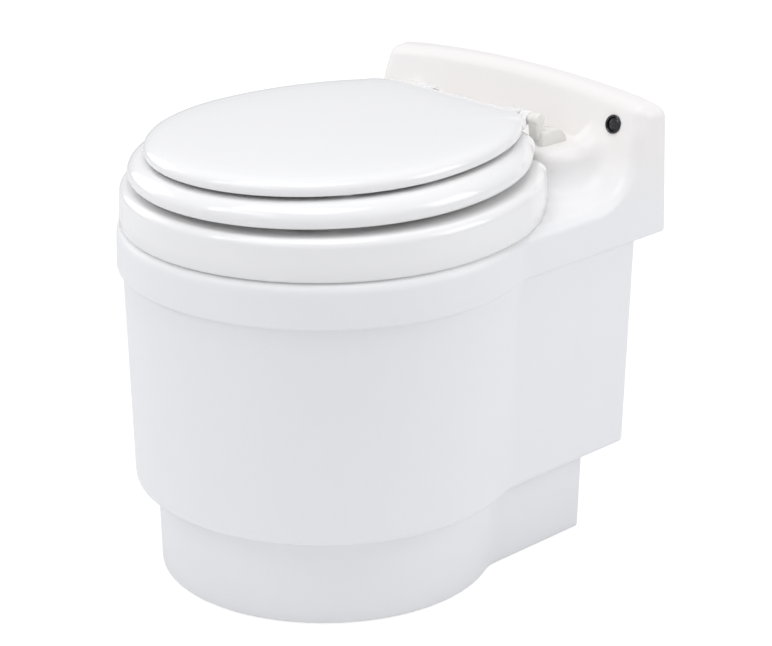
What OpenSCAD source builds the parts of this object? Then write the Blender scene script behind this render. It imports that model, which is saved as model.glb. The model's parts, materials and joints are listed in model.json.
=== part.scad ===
/* [Outer shell] */
// Height from the floor to the crown of the back panel
overall_h = 483; // [460:1:510]
// Radius of the round front at the rim band
band_r = 213; // [208:0.5:225]
// Half the width of the squared rear at the rim band
band_half_w = 192; // [184:0.5:199]
// Distance from the bowl axis to the back face
band_rear = 316; // [310:1:330]
// Height of the lower edge of the rim band
band_z = 331; // [320:1:336]
// Height of the deck that carries the bowl ring
deck_z = 378; // [373:1:383]
// Radius of the rounded shoulder between band and deck
shoulder_r = 12; // [6:1:16]
// Wall thickness of the moulded shell
wall = 4; // [3:0.5:5]
// Moulding draft of every upright wall, in degrees
draft = 1.5; // [1:0.25:2.5]

/* [Body] */
// Radius of the body just above its bottom edge
body_r = 201; // [194:0.5:204]
// Half the width of the squared rear of the body
body_half_w = 181.5; // [175:0.5:185]
// Distance from the bowl axis to the back of the body
body_rear = 270; // [262:1:276]
// Height of the underside of the body
body_z = 99; // [90:1:110]
// Radius of the bottom edge of the body
body_edge_r = 6; // [4:0.5:14]
// Radius of the hollow corner where the round front meets the squared rear
waist_r = 48; // [38:1:63]
// Radius of the upright rear corners
rear_corner_r = 6; // [4:0.5:14]

/* [Plinth] */
// Radius of the plinth at the floor
plinth_r = 176; // [171:0.5:181]
// Half the width of the squared rear of the plinth
plinth_half_w = 152; // [148:0.5:158]
// Distance from the bowl axis to the back of the plinth
plinth_rear = 235; // [230:1:242]
// Gap between the floor and the bottom edge of the plinth
plinth_gap = 2; // [1:0.5:4]

/* [Back panel and hinge shelf] */
// Backward lean of the panel's front face, in degrees
panel_lean = 15; // [10:1:18]
// Distance from the bowl axis to the foot of the panel's front face
panel_foot = 252; // [249:0.5:255]
// Radius of the hollow between the deck and the panel
panel_cove_r = 60; // [45:1:65]
// Fall of the arched top edge from the middle to the sides
panel_arch = 12; // [4:1:16]
// Radius of the top corners, seen from the front
panel_corner_r = 16; // [10:1:22]
// Radius of the panel's upright edges
panel_edge_r = 7; // [6:0.5:12]
// Height of the shelf that carries the hinges
shelf_z = 424.5; // [419:0.5:425]
// Half the width of the shelf at its top
shelf_half_w = 132; // [122:1:145]
// Distance from the bowl axis to the front of the shelf
shelf_front = 204; // [202:1:210]

/* [Bowl ring] */
// Height of the top of the bowl ring
ring_z = 419; // [413:0.5:420]
// Half the width of the ring
ring_half_w = 208; // [204:0.5:210]
// Reach of the ring in front of the bowl axis
ring_front = 210; // [206:0.5:211]
// Radius of the ring's top edge
ring_edge_r = 9; // [5:0.5:12]
// Radius of the opening in the ring
mouth_r = 112; // [105:0.5:116]
// Radius of the opening in the deck, through which the cartridge lifts out
deck_hole_r = 158; // [156:0.5:162]
// Thickness of the seal under the ring
seal_t = 1.5; // [1:0.25:2]

/* [Seat and lid] */
// Half the width of the seat
seat_half_w = 192; // [186:0.5:198]
// Reach of the seat in front of the bowl axis
seat_front = 204; // [200:0.5:209]
// Height of the underside of the seat
seat_z = 426; // [425.5:0.5:428]
// Thickness of the seat
seat_t = 24; // [20:0.5:25]
// Half the width of the opening in the seat
seat_hole_w = 108; // [100:1:118]
// Length of the opening in the seat
seat_hole_l = 268; // [240:1:280]
// Half the width of the lid
lid_half_w = 170; // [166:0.5:180]
// Reach of the lid in front of the bowl axis
lid_front = 190; // [186:0.5:196]
// Gap between the seat and the lid, filled by the bumpers
lid_gap = 3.5; // [3:0.5:6]
// Thickness of the lid at its edge
lid_t = 16; // [15:0.5:19]
// Wall of the hollow lid
lid_wall = 4; // [3:0.5:6]
// Distance from the bowl axis to the rear edge of the seat
seat_rear = 206; // [202:0.5:208]
// Distance from the bowl axis to the rear edge of the lid
lid_rear = 197; // [192:0.5:200]

/* [Hinges] */
// Distance from the bowl axis to the hinge axis
hinge_y = 220; // [219:0.5:222]
// Height of the hinge axis
hinge_z = 452; // [450:0.5:454]
// Radius of the hinge barrels
barrel_r = 7; // [6:0.25:7.5]
// Radius of the hinge pins
pin_r = 4; // [3:0.25:4.5]
// Distance from the middle to the outer end of each hinge barrel
hinge_out = 97; // [90:1:104]
// Length of each post's barrel
post_len = 14; // [12:0.5:16]
// Length of each seat knuckle
seat_knuckle = 12; // [10:0.5:14]
// Length of each lid knuckle
lid_knuckle = 15; // [10:0.5:18]
// Gap between neighbouring knuckles
knuckle_gap = 0.5; // [0.3:0.1:1]

/* [Flush button] */
// Distance from the middle to the button
button_x = 152; // [145:1:159]
// Height of the middle of the button
button_z = 449; // [444:0.5:453]
// Radius of the button's bezel
bezel_r = 10; // [9.5:0.25:12.5]
// Radius of the moving cap
cap_r = 7.2; // [6:0.1:8]
// Travel of the cap
cap_travel = 3; // [2:0.25:4]

/* [Cartridge drive] */
// Module of the gear teeth
gear_m = 4; // [4:0.5:4]
// Teeth on the ring gear
ring_teeth = 75; // [75:1:75]
// Teeth on the drive pinion
pinion_teeth = 12; // [12:1:12]
// Height of the top of the cradle plate
cradle_z = 261; // [256:1:266]
// Thickness of the cradle plate
cradle_t = 6; // [4:0.5:8]
// Outer radius of the collar that the turntable turns on
collar_r = 112; // [110:0.5:114]
// Thickness of the turntable
turntable_t = 6; // [5:0.5:8]
// Face width of the ring gear
gear_face = 12; // [10:0.5:14]
// Outer radius of the film cartridge
cartridge_r = 144; // [142:0.5:146]
// Height of the film cartridge
cartridge_h = 68; // [60:1:74]
// Radius of the gearbox and the motor
motor_r = 18.5; // [16:0.5:20]
// Length of the motor can
motor_len = 50; // [40:1:60]
// Length of the gearbox
gearbox_len = 30; // [24:1:36]
// Radius of the motor's output shaft
shaft_r = 4; // [3:0.25:4]

/* [Waste bucket] */
// Outer radius of the bucket
bucket_r = 142; // [136:0.5:144]
// Wall of the bucket
bucket_wall = 2.5; // [2:0.25:4]
// Height of the bucket
bucket_h = 229; // [193:1:231]

/* [Blower] */
// Distance from the middle to the blower axis
blower_x = 92; // [88:1:96]
// Inner radius of the blower housing
blower_r = 46; // [42:0.5:48]
// Depth of the blower housing
blower_depth = 36; // [30:1:40]
// Radius of the impeller
impeller_r = 40; // [34:0.5:42]
// Number of impeller blades
blades = 16; // [10:1:20]
// Inner radius of the suction duct
duct_r = 20; // [16:0.5:22]

/* [Battery] */
// Width of the battery
battery_w = 151; // [140:1:156]
// Depth of the battery
battery_d = 65; // [60:0.5:65]
// Height of the battery
battery_h = 94; // [85:1:98]

/* [Service cover] */
// Half the width of the opening in the back wall
service_half_w = 148; // [144:1:152]
// Half the height of the opening in the back wall
service_half_h = 78; // [74:1:80]
// Height of the middle of the service cover
service_z = 212; // [208:1:216]
// Lap of the cover over the wall around the opening
cover_lap = 14; // [12:0.5:16]
// Thickness of the service cover
cover_t = 3; // [2:0.5:4]
// Radius of the round socket for the charging plug
socket_r = 2.75; // [2.5:0.05:3]
// Depth of the socket
socket_depth = 9.5; // [8:0.5:12]

/* [Base] */
// Thickness of the base plate
base_t = 6; // [4:0.5:8]
// Radius of the rubber feet
foot_r = 16; // [12:0.5:20]
// Height of the underside of the base plate above the floor
base_z = 6; // [5:0.5:8]

/* [Hidden] */
$fn = 64;

// Running gap between pieces that move past each other
run_gap = 0.3;
// Radial clearance of a shaft or pin that turns in a bore
pin_clear = 0.06;
// Clearance of a loose fit, such as a screw in its hole
loose = 0.4;
// A small overlap that makes cuts run past a surface
past = 1;
// Screw sizes: shank radius, head radius and head height of the small and the large screw
screw = [1.6, 3.4, 2.2];
big_screw = [2.5, 4.7, 3];
// The small screw with its shank a little thinner than its hole
screw_fit = screw - [0.05, 0, 0];

white = "white";
panel_white = [0.97, 0.965, 0.955];
ivory = [0.95, 0.94, 0.91];
dark = [0.13, 0.13, 0.14];
steel = [0.72, 0.73, 0.75];
brass = [0.80, 0.66, 0.32];

// The whole object stands with the middle of its outline on the origin
bowl_y = -(band_rear - band_r) / 2;
module placed() translate([0, bowl_y, 0]) children();
module both() for (side = [0, 1]) mirror([side, 0, 0]) children();

// Outline of the shell seen from above: a round front, a hollow waist and a squared rear
arc_steps = 20;
waist_steps = 6;
corner_steps = 4;
function half_outline(r, w, rear, f, rc, coarse = 1) =
    let (yc = sqrt(pow(r + f, 2) - pow(w + f, 2)), a = atan2(yc, w + f),
         na = arc_steps / coarse, nw = waist_steps / coarse, nc = corner_steps / coarse)
    concat(
        [for (i = [0:na]) let (t = -90 + (90 + a) * i / na) r * [cos(t), sin(t)]],
        [for (i = [1:nw]) let (t = 180 + a * (1 - i / nw)) [w + f + f * cos(t), yc + f * sin(t)]],
        [for (i = [0:nc]) let (t = 90 * i / nc) [w - rc + rc * cos(t), rear - rc + rc * sin(t)]],
        [[0, rear]]);
function mirrored(half) =
    concat(half, [for (i = [len(half) - 2:-1:1]) [-half[i].x, half[i].y]]);

// Outline of the seat, lid and ring: a round front and a longer, cut-off rear
egg_steps = 22;
function half_egg(w, front, back, cut, e, corner) =
    let (a = w - e, f = front - e, b = back - e, y = cut - e, x = a * sqrt(max(0, 1 - pow(y / b, 2))),
         stop = asin((y - corner) / b))
    concat(
        [for (i = [0:egg_steps]) let (t = -90 + (90 + stop) * i / egg_steps)
            [a * cos(t), (t < 0 ? f : b) * sin(t)]],
        [for (i = [1:corner_steps]) let (t = 90 * i / corner_steps, x0 = a * cos(stop))
            [x0 - (x0 - x + corner * 1.2) * (1 - cos(t)), y - corner + corner * sin(t)]],
        [[0, y]]);

// Solid through a stack of outlines: each level is a list of [x, y, z] points, all of one length
module loft(levels) {
    n = len(levels[0]);
    m = len(levels);
    polyhedron([for (level = levels) each level],
        concat([[for (i = [0:n - 1]) i]], [[for (i = [n:-1:1]) (m - 1) * n + i % n]],
            [for (k = [0:m - 2]) for (i = [0:n - 1]) let (j = (i + 1) % n)
                each [[k * n + i, (k + 1) * n + j, k * n + j], [k * n + i, (k + 1) * n + i, (k + 1) * n + j]]]));
}
function at_height(points, z) = [for (p = points) [p.x, p.y, z]];

function grow(z) = z * tan(draft);
function level(sizes, g, e, z, coarse) = at_height(mirrored(half_outline(sizes[0] + g - e, sizes[1] + g - e,
    sizes[2] + g - e, waist_r + e, rear_corner_r, coarse)), z);
function plinth_level(z, e, coarse = 1) = level([plinth_r, plinth_half_w, plinth_rear], grow(z), e, z, coarse);
function body_level(z, e, coarse = 1) = level([body_r, body_half_w, body_rear], grow(z - body_z), e, z, coarse);
function band_level(z, e, coarse = 1) = level([band_r, band_half_w, band_rear], -grow(z - band_z), e, z, coarse);
function body_rear_at(z) = body_rear + grow(z - body_z);

band_edge_r = 2.5;
plinth_edge_r = 3;
function shell_levels() = concat(
    [plinth_level(plinth_gap, plinth_edge_r), plinth_level(plinth_gap + plinth_edge_r, 0), plinth_level(body_z, 0)],
    [for (i = [0:corner_steps]) let (t = 90 * i / corner_steps)
        body_level(body_z + body_edge_r * (1 - cos(t)), body_edge_r * (1 - sin(t)))],
    [body_level(band_z, 0), band_level(band_z, band_edge_r), band_level(band_z + band_edge_r, 0)],
    [for (i = [0:corner_steps]) let (t = 90 * i / corner_steps)
        band_level(deck_z - shoulder_r * (1 - sin(t)), shoulder_r * (1 - cos(t)))]);
function cavity_levels() = [
    plinth_level(-past, wall, 2), plinth_level(body_z + wall, wall, 2),
    body_level(body_z + wall, wall + body_edge_r, 2), body_level(body_z + wall + body_edge_r, wall, 2),
    body_level(band_z + wall, wall, 2), band_level(band_z + wall, wall + band_edge_r, 2),
    band_level(deck_z - shoulder_r, wall, 2), band_level(deck_z - wall, shoulder_r + wall / 2, 2)];

// Back panel: an upright slab whose front face leans back and runs into the deck in a hollow
side_step = 0.3;
panel_w = band_half_w - grow(deck_z - shoulder_r - band_z) - side_step;
panel_top_r = 11;
cove_sink = 0.4;
function face_y(z) = panel_foot + (z - deck_z) * tan(panel_lean);
function edge_in(d, r) = d >= r ? 0 : r - sqrt(r * r - pow(r - d, 2));
function top_at(x, e) =
    overall_h - e - panel_arch * pow(x / panel_w, 2) - edge_in(panel_w - e - abs(x), panel_corner_r - e);
function panel_section(x, e, low, coarse) =
    let (d = panel_w - e - abs(x), edge = edge_in(d, panel_edge_r - e), z1 = top_at(x, e),
         start = panel_foot - panel_cove_r * tan((90 - panel_lean) / 2) + edge / cos(panel_lean),
         cove_z = deck_z - cove_sink + panel_cove_r, cove = panel_cove_r + e, r = panel_top_r - e, zt = z1 - r,
         yt = face_y(zt + r * sin(panel_lean)) + (edge + e) / cos(panel_lean) + r * cos(panel_lean),
         back = band_rear - grow(deck_z - band_z) - edge - e, nv = 6 / coarse, nc = corner_steps / coarse)
    concat(
        [[back, low], [start, low]],
        [for (i = [0:nv]) let (t = (90 - panel_lean) * i / nv) [start + cove * sin(t), cove_z - cove * cos(t)]],
        [for (i = [0:nc]) let (t = panel_lean + (90 - panel_lean) * i / nc) [yt - r * cos(t), zt + r * sin(t)]],
        [for (i = [0:nc]) let (t = 90 * i / nc) [back - r + r * sin(t), zt + r * cos(t)]]);
function panel_stations(e, coarse) =
    let (w = panel_w - e, r = panel_corner_r - e, n = 4 / coarse, ends = [for (i = [0:n]) w - r * (1 - cos(90 * i / n))])
    concat([for (x = ends) -x], [for (i = [-n:n]) i * (w - r) / (n + 1)], [for (i = [n:-1:0]) ends[i]]);
module panel_block(e, low, coarse = 1)
    loft([for (x = panel_stations(e, coarse)) [for (p = panel_section(x, e, low, coarse)) [-x, p.x, p.y]]]);

// Hinge shelf: a raised block between the bowl ring and the panel
shelf_edge_r = 8;
function rounded_box(w, y0, y1, r) = mirrored(concat([[0, y0]],
    [for (i = [0:corner_steps]) let (t = -90 + 90 * i / corner_steps) [w - r + r * cos(t), y0 + r + r * sin(t)]],
    [[w, y1], [0, y1]]));
module shelf_block(e, low, steps) {
    plan_r = 26;
    back = face_y(shelf_z) + wall + 3 * e;
    for (i = [0:steps]) let (t = 90 * i / steps, cut = shelf_edge_r * (1 - cos(t)))
        translate([0, 0, low]) linear_extrude(shelf_z - shelf_edge_r * (1 - sin(t)) - e - low)
            polygon(rounded_box(shelf_half_w + shelf_edge_r / 2 - cut - e, shelf_front + cut + e, back, plan_r));
}

// Frames that the pieces on the back wall and on the panel are built in
module on_back() translate([0, body_rear_at(service_z), service_z]) rotate([-draft, 0, 0]) children();
module on_panel(z) translate([0, face_y(z), z]) rotate([-panel_lean, 0, 0]) children();
// A cylinder along +Y of the frame that it is drawn in
module along_y(r, y0, y1, x = 0, z = 0) translate([x, y0, z]) rotate([-90, 0, 0]) cylinder(r = r, h = y1 - y0);
module tube(r_out, r_in, z0, z1) translate([0, 0, z0]) difference() {
    cylinder(r = r_out, h = z1 - z0);
    translate([0, 0, -past]) cylinder(r = r_in, h = z1 - z0 + 2 * past);
}
module block(low, high) translate(low) cube(high - low);
module round_plate(w, d, h, r) translate([-w / 2, 0, -h / 2]) difference() {
    cube([w, d, h]);
    for (x = [0, w]) for (z = [0, h]) translate([x, -past, z]) rotate([-90, 0, 0]) difference() {
        translate([-r, -r, 0]) cube([2 * r, 2 * r, d + 2 * past]);
        translate([x > 0 ? -r : r, z > 0 ? r : -r, -past]) cylinder(r = r, h = d + 4 * past);
    }
}
// A pan-head screw that points along +Z from the plane that its head rests on
module pan_screw(size, len) {
    cylinder(r = size[0], h = len);
    translate([0, 0, -size[2]]) difference() {
        cylinder(r = size[1], h = size[2]);
        translate([0, 0, -past]) cylinder(r = size[0] * 0.9, h = size[2] / 2 + past, $fn = 6);
    }
}

// Base: plate, feet and screws
boss_r = 7;
boss_top = 44;
boss_in = wall + boss_r - 1;
base_places = concat(
    [for (a = [-90, -10, -170]) (plinth_r - boss_in) * [cos(a), sin(a)]],
    [for (s = [-1, 1]) [s * (plinth_half_w - boss_in - 2.5), plinth_rear - boss_in - 2.5]]);
foot_places = concat(
    [for (a = [-55, -125]) (plinth_r - 32) * [cos(a), sin(a)]],
    [for (s = [-1, 1]) [s * (plinth_half_w - 22), 20]],
    [for (s = [-1, 1]) [s * (plinth_half_w - 42), plinth_rear - 28]]);
base_top = base_z + base_t;

module outer_shell() placed() color(white) difference() {
    union() {
        difference() {
            union() {
                loft(shell_levels());
                panel_block(0, deck_z - shoulder_r - 2);
                shelf_block(0, deck_z - wall / 2, 4);
            }
            loft(cavity_levels());
            panel_block(wall, deck_z - 2 * wall, 2);
            shelf_block(wall, deck_z - 2 * wall, 1);
        }
        for (p = base_places) translate([p.x, p.y, base_top + run_gap]) cylinder(r = boss_r, h = boss_top - base_top);
    }
    translate([0, 0, deck_z - 3 * wall]) cylinder(r = deck_hole_r, h = 6 * wall, $fn = 128);
    for (p = base_places) translate([p.x, p.y, 0]) cylinder(r = big_screw[0], h = boss_top - 8);
    on_back() block([-service_half_w, -3 * wall, -service_half_h], [service_half_w, 3 * wall, service_half_h]);
    on_back() for (p = cover_places) along_y(screw[0], -3 * wall, 3 * wall, p.x, p.y);
    on_panel(button_z) along_y(thread_r + loose, -3 * wall, 3 * wall, button_x);
    both() translate([bolt_x, bolt_y, shelf_z - 3 * wall]) cylinder(r = bolt_r + loose, h = 6 * wall);
}

module base_plate() placed() color([0.88, 0.88, 0.88]) difference() {
    translate([0, 0, base_z]) linear_extrude(base_t)
        polygon([for (p = plinth_level(0, wall + loose, 2)) [p.x, p.y]]);
    for (p = base_places) translate([p.x, p.y, 0]) cylinder(r = big_screw[0] + loose, h = base_top + past);
    for (p = foot_places) translate([p.x, p.y, 0]) cylinder(r = foot_stem_r, h = base_top + past);
    for (a = post_angles) translate([post_ring * cos(a), post_ring * sin(a), 0])
        cylinder(r = screw[0] + loose, h = base_top + past);
    translate([0, strap_screw_y, 0]) cylinder(r = screw[0], h = base_top + past);
    block([-strap_w / 2 - loose, strap_back - loose, 0], [strap_w / 2 + loose, strap_back + strap_t + loose, base_top + past]);
}

foot_stem_r = 5;
module rubber_feet() placed() color(dark) for (p = foot_places) translate([p.x, p.y, 0]) {
    cylinder(r = foot_r, h = base_z);
    cylinder(r = foot_stem_r - 0.05, h = base_top - past);
}

module base_screws() placed() color(steel) for (p = base_places) translate([p.x, p.y, base_z])
    pan_screw([big_screw[0] - 0.05, big_screw[1], big_screw[2]], boss_top - base_z - 12);

// Service cover and what it carries
cover_places = [for (s = [-1, 1]) for (t = [-1, 1])
    [s * (service_half_w + cover_lap / 2), t * (service_half_h + cover_lap / 2)]];
inlet_at = [112, -58];
fuse_at = [82, -58];
barrel_out = 6;
fuse_r = 6;
vent_at = [-blower_x, 46];
vent_w = 64;
vent_h = 40;
filter_t = 12;
vent_hole_in = 5;

module service_cover() placed() color(white) on_back() difference() {
    round_plate(2 * (service_half_w + cover_lap), cover_t, 2 * (service_half_h + cover_lap), 6);
    for (p = cover_places) along_y(screw[0] + loose, -past, cover_t + past, p.x, p.y);
    along_y(barrel_out + loose, -past, cover_t + past, inlet_at.x, inlet_at.y);
    along_y(fuse_r + loose, -past, cover_t + past, fuse_at.x, fuse_at.y);
    block([vent_at.x - vent_w / 2 + vent_hole_in, -past, vent_at.y - vent_h / 2 + vent_hole_in],
        [vent_at.x + vent_w / 2 - vent_hole_in, cover_t + past, vent_at.y + vent_h / 2 - vent_hole_in]);
}

module cover_screws() placed() color(steel) on_back() for (p = cover_places)
    translate([p.x, cover_t, p.y]) rotate([90, 0, 0]) pan_screw(screw_fit, 12);

slat_pitch = 8;
module vent_grille() placed() color([0.9, 0.9, 0.9]) on_back() difference() {
    translate([vent_at.x, cover_t, vent_at.y]) round_plate(vent_w, 2.5, vent_h, 4);
    for (i = [-1.5:1:1.5]) block(
        [vent_at.x - vent_w / 2 + vent_hole_in + 1, cover_t - past, vent_at.y + i * slat_pitch - 2.5],
        [vent_at.x + vent_w / 2 - vent_hole_in - 1, cover_t + 3 * past + 2, vent_at.y + i * slat_pitch + 2.5]);
}

module carbon_filter() placed() color([0.2, 0.2, 0.21]) on_back()
    block([vent_at.x - vent_w / 2, -filter_t, vent_at.y - vent_h / 2], [vent_at.x + vent_w / 2, 0, vent_at.y + vent_h / 2]);

inlet_len = 18;
module power_inlet() placed() color(dark) on_back() difference() {
    union() {
        along_y(barrel_out, cover_t - inlet_len, cover_t + past, inlet_at.x, inlet_at.y);
        along_y(barrel_out + 2.5, cover_t, cover_t + 2, inlet_at.x, inlet_at.y);
        along_y(barrel_out + 2.5, -3, 0, inlet_at.x, inlet_at.y);
    }
    along_y(socket_r, cover_t + 2 - socket_depth, cover_t + 3, inlet_at.x, inlet_at.y);
    along_y(1.05, cover_t - inlet_len - past, cover_t, inlet_at.x, inlet_at.y);
}
module inlet_contact() placed() color(brass) on_back()
    along_y(1, cover_t - inlet_len - 4, cover_t + 2 - socket_depth, inlet_at.x, inlet_at.y);

fuse_len = 26;
module fuse_holder() placed() color(dark) on_back() difference() {
    union() {
        along_y(fuse_r, cover_t - fuse_len, cover_t + past, fuse_at.x, fuse_at.y);
        along_y(fuse_r + 2, cover_t, cover_t + 2, fuse_at.x, fuse_at.y);
        along_y(fuse_r + 2.5, -3, 0, fuse_at.x, fuse_at.y);
    }
    along_y(3.4, cover_t - fuse_len + 3, cover_t + 3, fuse_at.x, fuse_at.y);
}
module fuse_cap() placed() color(dark) on_back() difference() {
    union() {
        along_y(3.3, cover_t - fuse_len + 4, cover_t + 3, fuse_at.x, fuse_at.y);
        along_y(5.5, cover_t + 2, cover_t + 5, fuse_at.x, fuse_at.y);
    }
    block([fuse_at.x - 4, cover_t + 4, fuse_at.y - 0.6], [fuse_at.x + 4, cover_t + 7, fuse_at.y + 0.6]);
}

// Bucket, cradle and turntable
seal_h = cradle_z - cradle_t - base_top - run_gap - bucket_h;
bucket_z = base_top + run_gap;
bucket_top = bucket_z + bucket_h;
rim_out = 6;
duct_z = -5;
module waste_bucket() placed() color([0.80, 0.82, 0.84]) difference() {
    union() {
        translate([0, 0, bucket_z]) cylinder(r = bucket_r, h = bucket_h, $fn = 96);
        translate([0, 0, bucket_top - 5]) cylinder(r = bucket_r + rim_out, h = 5, $fn = 96);
    }
    translate([0, 0, bucket_z + bucket_wall])
        cylinder(r = bucket_r - bucket_wall, h = bucket_h, $fn = 96);
    on_back() along_y(duct_r, -body_rear, -body_rear + bucket_r + 40, -blower_x, duct_z);
}
module bucket_seal() placed() color([0.25, 0.25, 0.26])
    tube(bucket_r + rim_out - 1, bucket_r - bucket_wall, bucket_top, cradle_z - cradle_t);

post_angles = [28, 152, 208, 332];
post_ring = bucket_r + rim_out + 9;
post_r = 7;
mesh_slack = 0.35;
motor_y = gear_m * (ring_teeth + pinion_teeth) / 2 + mesh_slack;
plate_r = post_ring + post_r + 2;
tongue_w = 30;
collar_top = cradle_z + run_gap + 5 + turntable_t + 4;
motor_screw_r = 13;
module cradle_plate() placed() color([0.86, 0.87, 0.88]) difference() {
    union() {
        translate([0, 0, cradle_z - cradle_t]) cylinder(r = plate_r, h = cradle_t, $fn = 128);
        block([-tongue_w, 0, cradle_z - cradle_t], [tongue_w, motor_y + motor_r + 6, cradle_z]);
        translate([0, 0, cradle_z - cradle_t]) cylinder(r = collar_r, h = collar_top - cradle_z + cradle_t, $fn = 128);
    }
    translate([0, 0, cradle_z - cradle_t - past]) cylinder(r = collar_r - 5, h = collar_top, $fn = 128);
    translate([0, motor_y, cradle_z - cradle_t - past]) cylinder(r = shaft_r + 2, h = cradle_t + 2 * past);
    for (a = post_angles) translate([post_ring * cos(a), post_ring * sin(a), cradle_z - cradle_t - past])
        cylinder(r = screw[0] + loose, h = cradle_t + 2 * past);
    for (a = [90, 210, 330]) translate([motor_screw_r * cos(a), motor_y + motor_screw_r * sin(a),
        cradle_z - cradle_t - past]) cylinder(r = screw[0] + loose, h = cradle_t + 2 * past);
}
module cradle_posts() placed() color(steel) for (a = post_angles)
    translate([post_ring * cos(a), post_ring * sin(a), base_top]) difference() {
        cylinder(r = post_r, h = cradle_z - cradle_t - base_top);
        for (z = [-past, cradle_z - cradle_t - base_top - 20]) translate([0, 0, z]) cylinder(r = screw[0], h = 20 + past);
    }
module frame_screws() placed() color(steel) {
    for (a = post_angles) translate([post_ring * cos(a), post_ring * sin(a), 0]) {
        translate([0, 0, cradle_z]) mirror([0, 0, 1]) pan_screw(screw_fit, 18);
        translate([0, 0, base_z]) pan_screw(screw_fit, 18);
    }
    translate([0, strap_screw_y, base_top + strap_t]) mirror([0, 0, 1]) pan_screw(screw_fit, base_t + strap_t - 1);
}

pad_h = 5;
pad_ring = collar_r + 16;
module glide_pads() placed() color([0.95, 0.95, 0.92]) for (a = [0:60:300])
    translate([pad_ring * cos(a), pad_ring * sin(a), cradle_z]) cylinder(r = 7, h = pad_h);

turntable_z = cradle_z + pad_h + run_gap;
gear_z = turntable_z + turntable_t;
gear_bore = collar_r + 20;
gear_screw_ring = gear_bore + 4;
gear_screw_angles = [15:60:315];
module turntable() placed() color([0.92, 0.92, 0.90]) difference() {
    tube(gear_m * ring_teeth / 2 - gear_m - 2, collar_r + pin_clear, turntable_z, gear_z, $fn = 128);
    for (a = gear_screw_angles) translate([gear_screw_ring * cos(a), gear_screw_ring * sin(a), turntable_z - past])
        cylinder(r = screw[0], h = turntable_t + 2 * past);
}

// Gear teeth: an involute flank on each side, thinned a little to leave backlash
pressure = 20;
tooth_thin = 0.30;
flank_steps = 4;
function inv(a) = tan(a) * 180 / PI - a;
function gear_points(teeth, addendum, dedendum) =
    let (r = gear_m * teeth / 2, rb = r * cos(pressure), ra = r + addendum, rf = r - dedendum,
         half = 90 / teeth - tooth_thin / 2 / r * 180 / PI, r0 = max(rb, rf))
    [for (k = [0:teeth - 1]) for (side = [-1, 1]) for (i = side < 0 ? [-1:flank_steps] : [flank_steps:-1:-1])
        let (q = i < 0 ? rf : r0 + (ra - r0) * i / flank_steps, c = min(1, rb / max(q, rb)),
             t = 360 * k / teeth + side * (half + inv(pressure) - inv(acos(c))))
        q * [cos(t), sin(t)]];
stub = 0.8;
module ring_gear() placed() color([0.93, 0.92, 0.88]) difference() {
    translate([0, 0, gear_z]) rotate(90) linear_extrude(gear_face)
        polygon(gear_points(ring_teeth, stub * gear_m, gear_m));
    translate([0, 0, gear_z - past]) cylinder(r = gear_bore, h = gear_face + 2 * past, $fn = 128);
    for (a = gear_screw_angles) translate([gear_screw_ring * cos(a), gear_screw_ring * sin(a), gear_z - past]) {
        cylinder(r = screw[0] + loose, h = gear_face + 2 * past);
        translate([0, 0, gear_face - screw[2]]) cylinder(r = screw[1] + loose, h = screw[2] + 2 * past);
    }
}
module gear_screws() placed() color(steel) for (a = gear_screw_angles)
    translate([gear_screw_ring * cos(a), gear_screw_ring * sin(a), gear_z + gear_face - screw[2] - past])
        mirror([0, 0, 1]) pan_screw(screw_fit, gear_face - screw[2] - past + turntable_t - 1);

pinion_z = gear_z - past;
pinion_face = gear_face + 2 * past;
module drive_pinion() placed() color([0.93, 0.92, 0.88]) translate([0, motor_y, pinion_z]) difference() {
    rotate(-90 + 180 / pinion_teeth) linear_extrude(pinion_face)
        polygon(gear_points(pinion_teeth, stub * gear_m, gear_m));
    translate([0, 0, -past]) cylinder(r = shaft_r, h = pinion_face + 2 * past);
}
shaft_low = 22;
module motor_shaft() placed() color(steel)
    translate([0, motor_y, cradle_z - cradle_t - shaft_low])
        cylinder(r = shaft_r, h = pinion_z + pinion_face - cradle_z + cradle_t + shaft_low);
module gearbox() placed() color(steel) translate([0, motor_y, cradle_z - cradle_t - gearbox_len]) difference() {
    cylinder(r = motor_r, h = gearbox_len);
    translate([0, 0, gearbox_len - shaft_low - 2]) cylinder(r = shaft_r + pin_clear, h = shaft_low + 2 + past);
    for (a = [90, 210, 330]) translate([motor_screw_r * cos(a), motor_screw_r * sin(a), gearbox_len - 10])
        cylinder(r = screw[0], h = 10 + past);
}
module drive_motor() placed() color([0.35, 0.36, 0.38])
    translate([0, motor_y, cradle_z - cradle_t - gearbox_len - motor_len]) {
        cylinder(r = motor_r - 1, h = motor_len);
        translate([0, 0, -4]) cylinder(r = 6, h = 4);
        for (x = [-8, 8]) block([x - 1.5, -0.5, -7], [x + 1.5, 0.5, 0]);
    }
module motor_screws() placed() color(steel) for (a = [90, 210, 330])
    translate([motor_screw_r * cos(a), motor_y + motor_screw_r * sin(a), cradle_z])
        mirror([0, 0, 1]) pan_screw(screw_fit, cradle_t + 7);

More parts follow.
